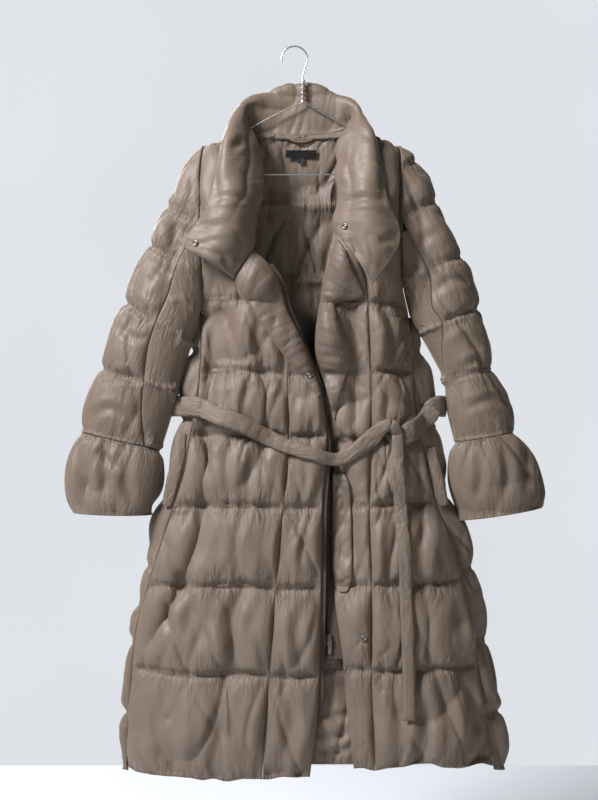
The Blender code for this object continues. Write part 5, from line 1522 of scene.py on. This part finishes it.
def rounded_plate(name, centre, width, thick, height, hole, bevel):
    """Upright plate with round ends and a round hole near its top, bevelled all round."""
    turn = full_turn(40)
    radius = width / 2
    straight = height / 2 - radius
    outline = np.stack((radius * np.cos(turn), radius * np.sin(turn)
                        + np.where(np.sin(turn) >= 0, straight, -straight)), -1)
    ring = np.stack((hole * np.cos(turn), hole * np.sin(turn) + straight), -1)
    points = [faced(edge[:, 0], y, -edge[:, 1]) for y in (-thick / 2, thick / 2)
              for edge in (outline, ring)]
    points = np.concatenate(points) + np.array(centre)
    a = np.arange(40)
    b = np.roll(a, -1)
    quads = np.concatenate((np.stack((a, b, b + 40, a + 40), -1),
                            np.stack((a + 80, a + 120, b + 120, b + 80), -1),
                            np.stack((a, a + 80, b + 80, b), -1),
                            np.stack((a + 40, b + 40, b + 120, a + 120), -1)))
    item = mesh_object(name, points, quads)
    outward_faces(item)
    return bevelled(item, bevel, 2)


def bevelled(item, width, segments):
    """Softens every edge of a piece."""
    soften = item.modifiers.new("edges", "BEVEL")
    soften.width = width * MM
    soften.segments = segments
    return item


def build_zip():
    """Both tapes with teeth, the slider with its bridge, and the pull on its own body."""
    rows = np.linspace(*TAPE_LEFT_SPAN, 240)
    far_x = smooth(FRONT_EDGE["left"], 1, rows) + smooth(TAPE_REACH, 1, rows)
    build_tape("left", rows, far_x)
    rows = np.linspace(*TAPE_RIGHT_SPAN, 100)
    build_tape("right", rows, np.full(len(rows), TAPE_RIGHT_X))
    y = float(tape_y("right", SLIDER_DROP)) - TAPE_THICK / 2 - SLIDER_CLEAR - SLIDER_SIZE[1] / 2
    for part, forward, up, size, bevel in SLIDER_PARTS:
        centre = np.array([(SLIDER_X, y + forward, up - SLIDER_DROP)])
        item = boxes_mesh("zip_slider_" + part, centre, np.eye(3)[None], size)
        bevelled(item, bevel, 3)
        nodes = ("zip_slider",) if part == "body" else ()
        dress(item, brass_finish(), "zip_metal", *nodes)
    pivot_y = y - SLIDER_SIZE[1] / 2 - PULL_CLEAR - PULL_THICK / 2
    top = -PIVOT_DROP + PULL_TOP
    pull = rounded_plate("zip_pull_tab", (SLIDER_X, pivot_y, top - PULL_LENGTH / 2), PULL_WIDTH,
                         PULL_THICK, PULL_LENGTH, PULL_HOLE, PULL_BEVEL)
    dress(pull, brass_finish(), "zip_metal", "zip_pull", body="pull")


def snap_place(name, grid, outer):
    """Centre and facing of a snap: the foremost place on the outer face at its point."""
    x, drop = SNAPS[name]
    face = grid + grid_normals(grid) * outer[..., None]
    normal = grid_normals(face)
    away = np.hypot(face[..., 0] - x, face[..., 2] + drop) + 0.02 * face[..., 1]
    away = np.where(normal[..., 1] < -0.05, away, 1e3)
    row, column = np.unravel_index(np.argmin(away), away.shape)
    near = (slice(max(row - 2, 0), row + 3), slice(max(column - 2, 0), column + 3))
    facing = normal[near].reshape(-1, 3).mean(axis=0)
    facing /= np.linalg.norm(facing)
    lift = max(((face[near].reshape(-1, 3) - face[row, column]) @ facing).max(), 0)
    return face[row, column] + facing * lift, facing


def build_snaps():
    """Ring snaps: a rolled rim, a dished face and a small boss."""
    surfaces = {"collar_left": SURFACES["collar"], "collar_right": SURFACES["collar"],
                "lapel_left": SURFACES["lapel_left"],
                "front_right": front_surfaces()[("right", True)][1:3]}
    turn = full_turn(48)
    for name, (grid, outer) in surfaces.items():
        centre, facing = snap_place(name, grid, outer)
        side_way = np.cross(facing, (0, 0, 1))
        side_way /= np.linalg.norm(side_way)
        up = np.cross(side_way, facing)
        ring = np.cos(turn)[:, None] * side_way + np.sin(turn)[:, None] * up
        rings = np.array([centre + ring * (SNAP_RADIUS * r)
                          + facing * (0.6 + SNAP_THICK / 2 * (1 + h)) for r, h in SNAP_PROFILE])
        points, quads = capped(rings)
        item = mesh_object("snap_" + name + "_cap", points, quads)
        outward_faces(item)
        dress(item, snap_finish(), "snap_steel", "snap_" + name)


def lining_face(x, drop):
    """Y of the back's inner face along its middle, at the fullest it gets near the neck."""
    row = row_of(x, drop)
    _, _, t = channel(row, BACK_LINES)
    share = np.sin(math.pi * t) ** 0.5
    return smooth(BACK_DEPTH, 1, row) - SEAM_HALF - BACK_LINING * 1.05 * share


def build_label():
    """Bare black satin label, its size tab, and the loop under the neck seam."""
    for name, size, finish in (("neck_label", LABEL, label_finish()),
            ("size_tab", SIZE_TAB, tab_finish())):
        columns = 31
        s = np.linspace(-0.5, 0.5, columns)
        x, drop = np.broadcast_arrays(size["centre"][0] + s[None, :] * size["width"],
                size["centre"][1] + s[:, None] * size["height"])
        bow = 0.35 * np.cos(2.2 * math.pi * s)[None, :] * np.cos(math.pi * s)[:, None]
        y = lining_face(x, drop) - 0.9 - LABEL_THICK / 2 + bow
        half = np.full(x.shape, LABEL_THICK / 2)
        item = padded_wall(name + "_cloth", np.stack((x, y, -drop), -1), half, half, (x, drop))
        dress(item, finish, "label_satin", name)
    rows = spline(HANG_LOOP, 12)
    y = lining_face(rows[:, 0], rows[:, 1]) - 1.0
    path = np.stack((rows[:, 0], y, -rows[:, 1]), -1)
    item = tube("hang_loop_cloth", path, np.full(len(path), 2.4), np.full(len(path), 0.9),
                np.array([[0.0, 0.0, 1.0]]), 131, 0.3)
    # The loop takes the nylon painted darker as painted shade.
    soft_piece(item, shaded_facing_finish(), "shell_nylon", "hang_loop", fill=0.1)


def build_hanger():
    """One steel wire from the hook's tip, round the frame and up the twist."""
    points = spline(hanger_path(), 8)
    curve = bpy.data.curves.new("hanger_line", "CURVE")
    curve.dimensions = "3D"
    curve.bevel_depth = WIRE_RADIUS * MM
    curve.bevel_resolution = WIRE_SIDES
    curve.use_fill_caps = True
    line = curve.splines.new("POLY")
    line.points.add(len(points) - 1)
    for place, (x, y, drop) in zip(line.points, points):
        place.co = (x * MM, y * MM, -drop * MM, 1.0)
    guide = scene_object("hanger_line", curve)
    bpy.context.view_layer.update()
    data = bpy.data.meshes.new_from_object(guide.evaluated_get(
        bpy.context.evaluated_depsgraph_get()))
    bpy.data.objects.remove(guide)
    item = scene_object("hanger_steel", data)
    dress(item, steel_finish(), "hanger_steel", "hanger_wire")


# ------------------------ finishes
def hex_shares(text):
    """Red, green and blue of a hex colour as shares of one."""
    return [int(text[k:k + 2], 16) / 255 for k in (1, 3, 5)]


def colour(text):
    """Scene colour of an sRGB hex colour."""
    linear = [c / 12.92 if c <= 0.04045 else ((c + 0.055) / 1.055) ** 2.4
              for c in hex_shares(text)]
    return (*linear, 1.0)


def node(tree, kind, inputs=None, **settings_of_node):
    """Adds a shader node; inputs maps a socket's name or number to a value or a link."""
    item = tree.nodes.new(kind)
    for key, value in settings_of_node.items():
        setattr(item, key, value)
    for key, value in (inputs or {}).items():
        if isinstance(value, bpy.types.NodeSocket):
            tree.links.new(value, item.inputs[key])
        else:
            item.inputs[key].default_value = value
    return item


def finish_tree(name):
    """New material with an empty tree; returns both, or the made one and nothing."""
    made = bpy.data.materials.get(name)
    if made:
        return made, None
    made = bpy.data.materials.new(name)
    made.use_nodes = True
    made.node_tree.nodes.clear()
    return made, made.node_tree


def surface(tree, inputs, bump=None):
    """Adds the shader, its bump where there is one, and the output."""
    shader = node(tree, "ShaderNodeBsdfPrincipled", inputs)
    if bump is not None:
        tree.links.new(bump.outputs["Normal"], shader.inputs["Normal"])
    node(tree, "ShaderNodeOutputMaterial", {"Surface": shader.outputs[0]})


def cloth_finish(name, base, shade, rough, sheen, wrinkle):
    """Down-proof nylon: a close plain weave with a satin face, finely wrinkled.

    The wrinkles are two noises on the cloth's own coordinates, one drawn out along the stitched
    lines' gathers; the weave is a fine noise too small to show as a pattern.
    """
    made, tree = finish_tree(name)
    if tree is None:
        return made
    cloth = node(tree, "ShaderNodeUVMap", uv_map="cloth").outputs[0]
    place = node(tree, "ShaderNodeTexCoord").outputs["Object"]
    near = node(tree, "ShaderNodeAttribute", attribute_name="near").outputs["Fac"]
    tall = node(tree, "ShaderNodeMapping", {"Vector": cloth, "Scale": (1.0, 0.22, 1.0)}).outputs[0]
    fine, long_ones, soft = [
        node(tree, "ShaderNodeTexNoise", {"Vector": where, "Scale": scale, "Detail": detail,
                                          "Roughness": grain, "Distortion": bend}).outputs[0]
        for where, scale, detail, grain, bend in ((tall, 150.0, 3.0, 0.6, 1.2),
                                                  (tall, 52.0, 3.0, 0.5, 1.0),
                                                  (place, 34.0, 4.0, 0.55, 0.6))]
    weave = node(tree, "ShaderNodeTexNoise", {"Vector": cloth, "Scale": 1500.0, "Detail": 1.0})
    patch = node(tree, "ShaderNodeTexNoise", {"Vector": place, "Scale": 7.0, "Detail": 3.0})
    tint = node(tree, "ShaderNodeMix", {0: patch.outputs[0], 6: colour(shade), 7: colour(base)},
                data_type="RGBA")
    dull = node(tree, "ShaderNodeMapRange", {0: soft, 1: 0.3, 2: 0.7, 3: rough - 0.05,
            4: rough + 0.06})
    close = node(tree, "ShaderNodeMath", {0: near, 1: 1.6}, operation="POWER").outputs[0]
    gathered = node(tree, "ShaderNodeMath", {0: fine, 1: close}, operation="MULTIPLY").outputs[0]
    open_share = node(tree, "ShaderNodeMapRange", {0: near, 1: 0.0, 2: 1.0, 3: 0.35, 4: 1.0})
    drawn = node(tree, "ShaderNodeMath", {0: long_ones, 1: open_share.outputs[0]},
                 operation="MULTIPLY").outputs[0]
    last = node(tree, "ShaderNodeBump", {"Height": gathered, "Strength": wrinkle,
            "Distance": 0.0080})
    for height, strength, depth in ((drawn, wrinkle, 0.0046), (soft, wrinkle, 0.0016),
            (weave.outputs[0], 0.10, 0.0002)):
        last = node(tree, "ShaderNodeBump", {"Height": height, "Strength": strength,
                "Distance": depth, "Normal": last.outputs[0]})
    surface(tree, {"Base Color": tint.outputs[2], "Roughness": dull.outputs[0],
                   "Specular IOR Level": 0.35, "Sheen Weight": sheen, "Sheen Roughness": 0.4,
                   "Sheen Tint": colour("#d8c3ad")}, last)
    return made


def metal_finish(name, base, rough, metallic, scratch):
    """Metal with a light haze of fine marks in its roughness and bump."""
    made, tree = finish_tree(name)
    if tree is None:
        return made
    place = node(tree, "ShaderNodeTexCoord").outputs["Object"]
    haze = node(tree, "ShaderNodeTexNoise", {"Vector": place, "Scale": 240.0, "Detail": 3.0})
    dull = node(tree, "ShaderNodeMapRange", {0: haze.outputs[0], 1: 0.3, 2: 0.7, 3: rough - 0.06,
            4: rough + 0.08})
    bump = node(tree, "ShaderNodeBump", {"Height": haze.outputs[0], "Strength": scratch,
            "Distance": 0.0003})
    surface(tree, {"Base Color": colour(base), "Metallic": metallic, "Roughness": dull.outputs[0]},
            bump)
    return made


def shell_finish():
    """Shell: taupe down-proof nylon with a satin face."""
    s = settings()
    return cloth_finish("shell nylon", hex_of(s.shell_colour), hex_of(s.shell_shade), 0.52, 0.22,
                        0.8)


def shaded_facing_finish():
    """Facing and lapels: the same nylon painted a little darker, as painted shade."""
    return cloth_finish("facing nylon painted shade", hex_of(settings().facing_shaded_colour), "#5c5146", 0.52, 0.22,
                        0.8)


def label_finish():
    """Label: black woven satin."""
    return cloth_finish("label satin", "#16171a", "#0e0f11", 0.36, 0.1, 0.1)


def tab_finish():
    """Size tab: black woven satin, a little greyer."""
    return cloth_finish("tab satin", "#26282c", "#1c1d20", 0.42, 0.1, 0.1)


def tape_finish():
    """Zip tape: knitted polyester, darker than the shell."""
    return cloth_finish("tape polyester", "#4b4036", "#3f352d", 0.65, 0.2, 0.2)


def tooth_finish():
    """Zip teeth: moulded plastic in the shell's colour, with a slight shine."""
    return metal_finish("zip teeth plastic", "#3f362f", 0.38, 0.0, 0.1)


def steel_finish():
    """Hanger: bright zinc-coated steel wire."""
    return metal_finish("hanger steel", "#b9b8b4", 0.34, 1.0, 0.1)


def brass_finish():
    """Slider and pull: gunmetal-plated zinc."""
    return metal_finish("slider zinc", "#77706a", 0.32, 1.0, 0.2)


def snap_finish():
    """Snaps: nickel-plated steel."""
    return metal_finish("snap nickel", "#77716b", 0.36, 1.0, 0.15)


def hex_of(value):
    """Hex text of a colour setting, which holds sRGB shares."""
    return "#" + "".join("{:02x}".format(round(c * 255)) for c in value)


# ------------------------ stage
def area_light(name, place, target, size, power, tint):
    """Rectangular light at a place, turned to face a target."""
    light = bpy.data.lights.new(name, "AREA")
    light.shape = "RECTANGLE"
    light.size, light.size_y = size
    light.energy = power
    light.color = colour(tint)[:3]
    item = scene_object(name, light)
    item.location = place
    item.rotation_euler = (Vector(target) - Vector(place)).to_track_quat("-Z", "Y").to_euler()
    return item


def build_backdrop():
    """Pale plain screen far behind, softly lit of itself."""
    data = bpy.data.meshes.new("backdrop")
    data.from_pydata([(-6, SCREEN_Y, -4), (6, SCREEN_Y, -4), (6, SCREEN_Y, 4), (-6, SCREEN_Y, 4)],
                     [], [(0, 1, 2, 3)])
    item = scene_object("backdrop", data, round_faces=False)
    made, tree = finish_tree("screen")
    place = node(tree, "ShaderNodeTexCoord").outputs["Object"]
    patch = node(tree, "ShaderNodeTexNoise", {"Vector": place, "Scale": 0.6, "Detail": 2.0})
    tint = node(tree, "ShaderNodeMix", {0: patch.outputs[0], 6: colour("#d9dce1"),
            7: colour("#e5e8ed")}, data_type="RGBA")
    glow = node(tree, "ShaderNodeEmission", {"Color": tint.outputs[2], "Strength": 1.0})
    node(tree, "ShaderNodeOutputMaterial", {"Surface": glow.outputs[0]})
    data.materials.append(made)
    return item


def build_floor():
    """Pale floor with a rounded far edge, well below the hem."""
    data = bpy.data.meshes.new("floor")
    turn = np.linspace(0, math.pi / 2, 12)
    profile = [(-6.0, FLOOR_Z)]
    for a in turn:
        profile.append((FLOOR_END + FLOOR_ROUND * math.sin(a),
                        FLOOR_Z - FLOOR_ROUND * (1 - math.cos(a))))
    points = [(x, y, z) for y, z in profile for x in (-8.0, 8.0)]
    faces = [(2 * k, 2 * k + 1, 2 * k + 3, 2 * k + 2) for k in range(len(profile) - 1)]
    data.from_pydata(points, [], faces)
    item = scene_object("floor", data)
    made, tree = finish_tree("floor paint")
    place = node(tree, "ShaderNodeTexCoord").outputs["Object"]
    patch = node(tree, "ShaderNodeTexNoise", {"Vector": place, "Scale": 1.5, "Detail": 4.0})
    tint = node(tree, "ShaderNodeMix", {0: patch.outputs[0], 6: colour("#cfd2d4"),
            7: colour("#d9dbdc")}, data_type="RGBA")
    surface(tree, {"Base Color": tint.outputs[2], "Roughness": 0.7})
    data.materials.append(made)
    return item


# ------------------------ add-on
def settings():
    """The coat's settings in this scene."""
    return bpy.context.scene.coat_settings


def colour_setting(name, description, text):
    """Colour setting with a hex default."""
    return bpy.props.FloatVectorProperty(name=name, description=description, size=3,
            default=hex_shares(text), min=0, max=1,
            subtype="COLOR_GAMMA")


def count_setting(name, description, usual, most):
    """Whole-number setting."""
    return bpy.props.IntProperty(name=name, description=description, default=usual, min=4,
            max=most)


class CoatSettings(bpy.types.PropertyGroup):
    """Sizes and colours of the coat's cloth."""
    body_step: bpy.props.FloatProperty(
        name="Front grid step", description="Distance between the fronts' grid points",
        default=0.0036, min=0.002, max=0.02, unit="LENGTH", precision=4)
    back_step: bpy.props.FloatProperty(
        name="Back grid step", description="Distance between the back's grid points",
        default=0.0056, min=0.003, max=0.02, unit="LENGTH", precision=4)
    sleeve_rows: count_setting("Sleeve rows", "Rows between two sections of a sleeve", 18, 30)
    sleeve_columns: count_setting("Sleeve columns", "Columns round the upper sleeve", 62, 90)
    collar_rows: count_setting("Collar rows", "Rows between two sections of the collar", 14, 24)
    collar_columns: count_setting("Collar columns", "Columns across the collar", 50, 80)
    shell_colour: colour_setting("Shell colour", "Colour of the nylon shell", "#74685a")
    shell_shade: colour_setting("Shell shade", "Darker tint the shell drifts to", "#62564a")
    # Facing colour: the shell's nylon painted a little darker, a painted shade.
    facing_shaded_colour: colour_setting("Facing colour", "Colour of the facing and lapels", "#6b5f52")
    key_power: bpy.props.FloatProperty(
        name="Key light", description="Power of the large window light", default=236.0, min=0,
        unit="POWER")
    sky_strength: bpy.props.FloatProperty(
        name="Sky strength", description="Strength of the surroundings' even light", default=0.075,
        min=0, max=5)


def build_stage():
    """Camera, the three lights, the even surroundings, the floor and the screen."""
    scene = bpy.context.scene
    s = settings()
    camera = bpy.data.cameras.new("camera")
    camera.lens = LENS
    camera.sensor_width = SENSOR
    item = scene_object("camera", camera)
    item.location = CAMERA_PLACE
    item.rotation_euler = (math.pi / 2, 0, 0)
    scene.camera = item
    lights = []
    for name, (place, target, size, share, tint) in LIGHTS.items():
        lights.append(area_light(name, place, target, size, s.key_power * share, tint))
    lights[-1].visible_camera = False
    world = bpy.data.worlds.new("surroundings")
    world.use_nodes = True
    back = world.node_tree.nodes["Background"]
    back.inputs["Color"].default_value = colour("#d3d9de")
    back.inputs["Strength"].default_value = s.sky_strength
    scene.world = world
    scene.view_settings.view_transform = "Standard"
    build_floor()
    build_backdrop()


class COAT_OT_body(bpy.types.Operator):
    """Builds the fronts, the back and the pocket welts"""
    bl_idname = "coat.body"
    bl_label = "Body panels"
    bl_options = {"REGISTER", "UNDO"}

    def execute(self, context):
        build_fronts()
        build_back()
        build_pocket_welts()
        return {"FINISHED"}


class COAT_OT_arms(bpy.types.Operator):
    """Builds both sleeves and their cuffs"""
    bl_idname = "coat.arms"
    bl_label = "Sleeves and cuffs"
    bl_options = {"REGISTER", "UNDO"}

    def execute(self, context):
        build_sleeves()
        build_cuffs()
        build_armhole_seams()
        return {"FINISHED"}


class COAT_OT_neck(bpy.types.Operator):
    """Builds the collar and the turned-out front edges"""
    bl_idname = "coat.neck"
    bl_label = "Collar and lapels"
    bl_options = {"REGISTER", "UNDO"}

    def execute(self, context):
        build_collar()
        build_neck_roll()
        build_lapels()
        return {"FINISHED"}


class COAT_OT_straps(bpy.types.Operator):
    """Builds the belt's runs and the wind flap"""
    bl_idname = "coat.straps"
    bl_label = "Belt and flap"
    bl_options = {"REGISTER", "UNDO"}

    def execute(self, context):
        build_belt()
        build_flap()
        build_underlap()
        return {"FINISHED"}


class COAT_OT_zip(bpy.types.Operator):
    """Builds the tapes, teeth, slider and pull"""
    bl_idname = "coat.zip"
    bl_label = "Zip"
    bl_options = {"REGISTER", "UNDO"}

    def execute(self, context):
        build_zip()
        return {"FINISHED"}


class COAT_OT_snaps(bpy.types.Operator):
    """Builds the four snaps"""
    bl_idname = "coat.snaps"
    bl_label = "Snaps"
    bl_options = {"REGISTER", "UNDO"}

    def execute(self, context):
        build_snaps()
        return {"FINISHED"}


class COAT_OT_label(bpy.types.Operator):
    """Builds the label, the tab and the hang loop"""
    bl_idname = "coat.label"
    bl_label = "Label and loop"
    bl_options = {"REGISTER", "UNDO"}

    def execute(self, context):
        build_label()
        return {"FINISHED"}


class COAT_OT_hanger(bpy.types.Operator):
    """Builds the wire hanger"""
    bl_idname = "coat.hanger"
    bl_label = "Wire hanger"
    bl_options = {"REGISTER", "UNDO"}

    def execute(self, context):
        build_hanger()
        return {"FINISHED"}


class COAT_OT_stage(bpy.types.Operator):
    """Builds the camera, the lights and the floor"""
    bl_idname = "coat.stage"
    bl_label = "Stage"
    bl_options = {"REGISTER", "UNDO"}

    def execute(self, context):
        build_stage()
        return {"FINISHED"}


OPERATORS = [COAT_OT_body, COAT_OT_arms, COAT_OT_neck, COAT_OT_straps, COAT_OT_zip,
             COAT_OT_snaps, COAT_OT_label, COAT_OT_hanger, COAT_OT_stage]


class COAT_PT_panel(bpy.types.Panel):
    """Sidebar panel with the settings and one button for each group."""
    bl_idname = "COAT_PT_panel"
    bl_label = "Long puffer coat"
    bl_space_type = "VIEW_3D"
    bl_region_type = "UI"
    bl_category = "Coat"

    def draw(self, context):
        for name in CoatSettings.__annotations__:
            self.layout.prop(context.scene.coat_settings, name)
        for item in OPERATORS:
            self.layout.operator(item.bl_idname)


CLASSES = [CoatSettings, *OPERATORS, COAT_PT_panel]


def register():
    for item in CLASSES:
        bpy.utils.register_class(item)
    bpy.types.Scene.coat_settings = bpy.props.PointerProperty(type=CoatSettings)


def unregister():
    del bpy.types.Scene.coat_settings
    for item in reversed(CLASSES):
        bpy.utils.unregister_class(item)


def main():
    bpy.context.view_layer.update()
    register()
    bpy.ops.coat.body()
    bpy.ops.coat.arms()
    bpy.ops.coat.neck()
    bpy.ops.coat.straps()
    bpy.ops.coat.zip()
    bpy.ops.coat.snaps()
    bpy.ops.coat.label()
    bpy.ops.coat.hanger()
    bpy.ops.coat.stage()


if __name__ == "__main__":
    main()
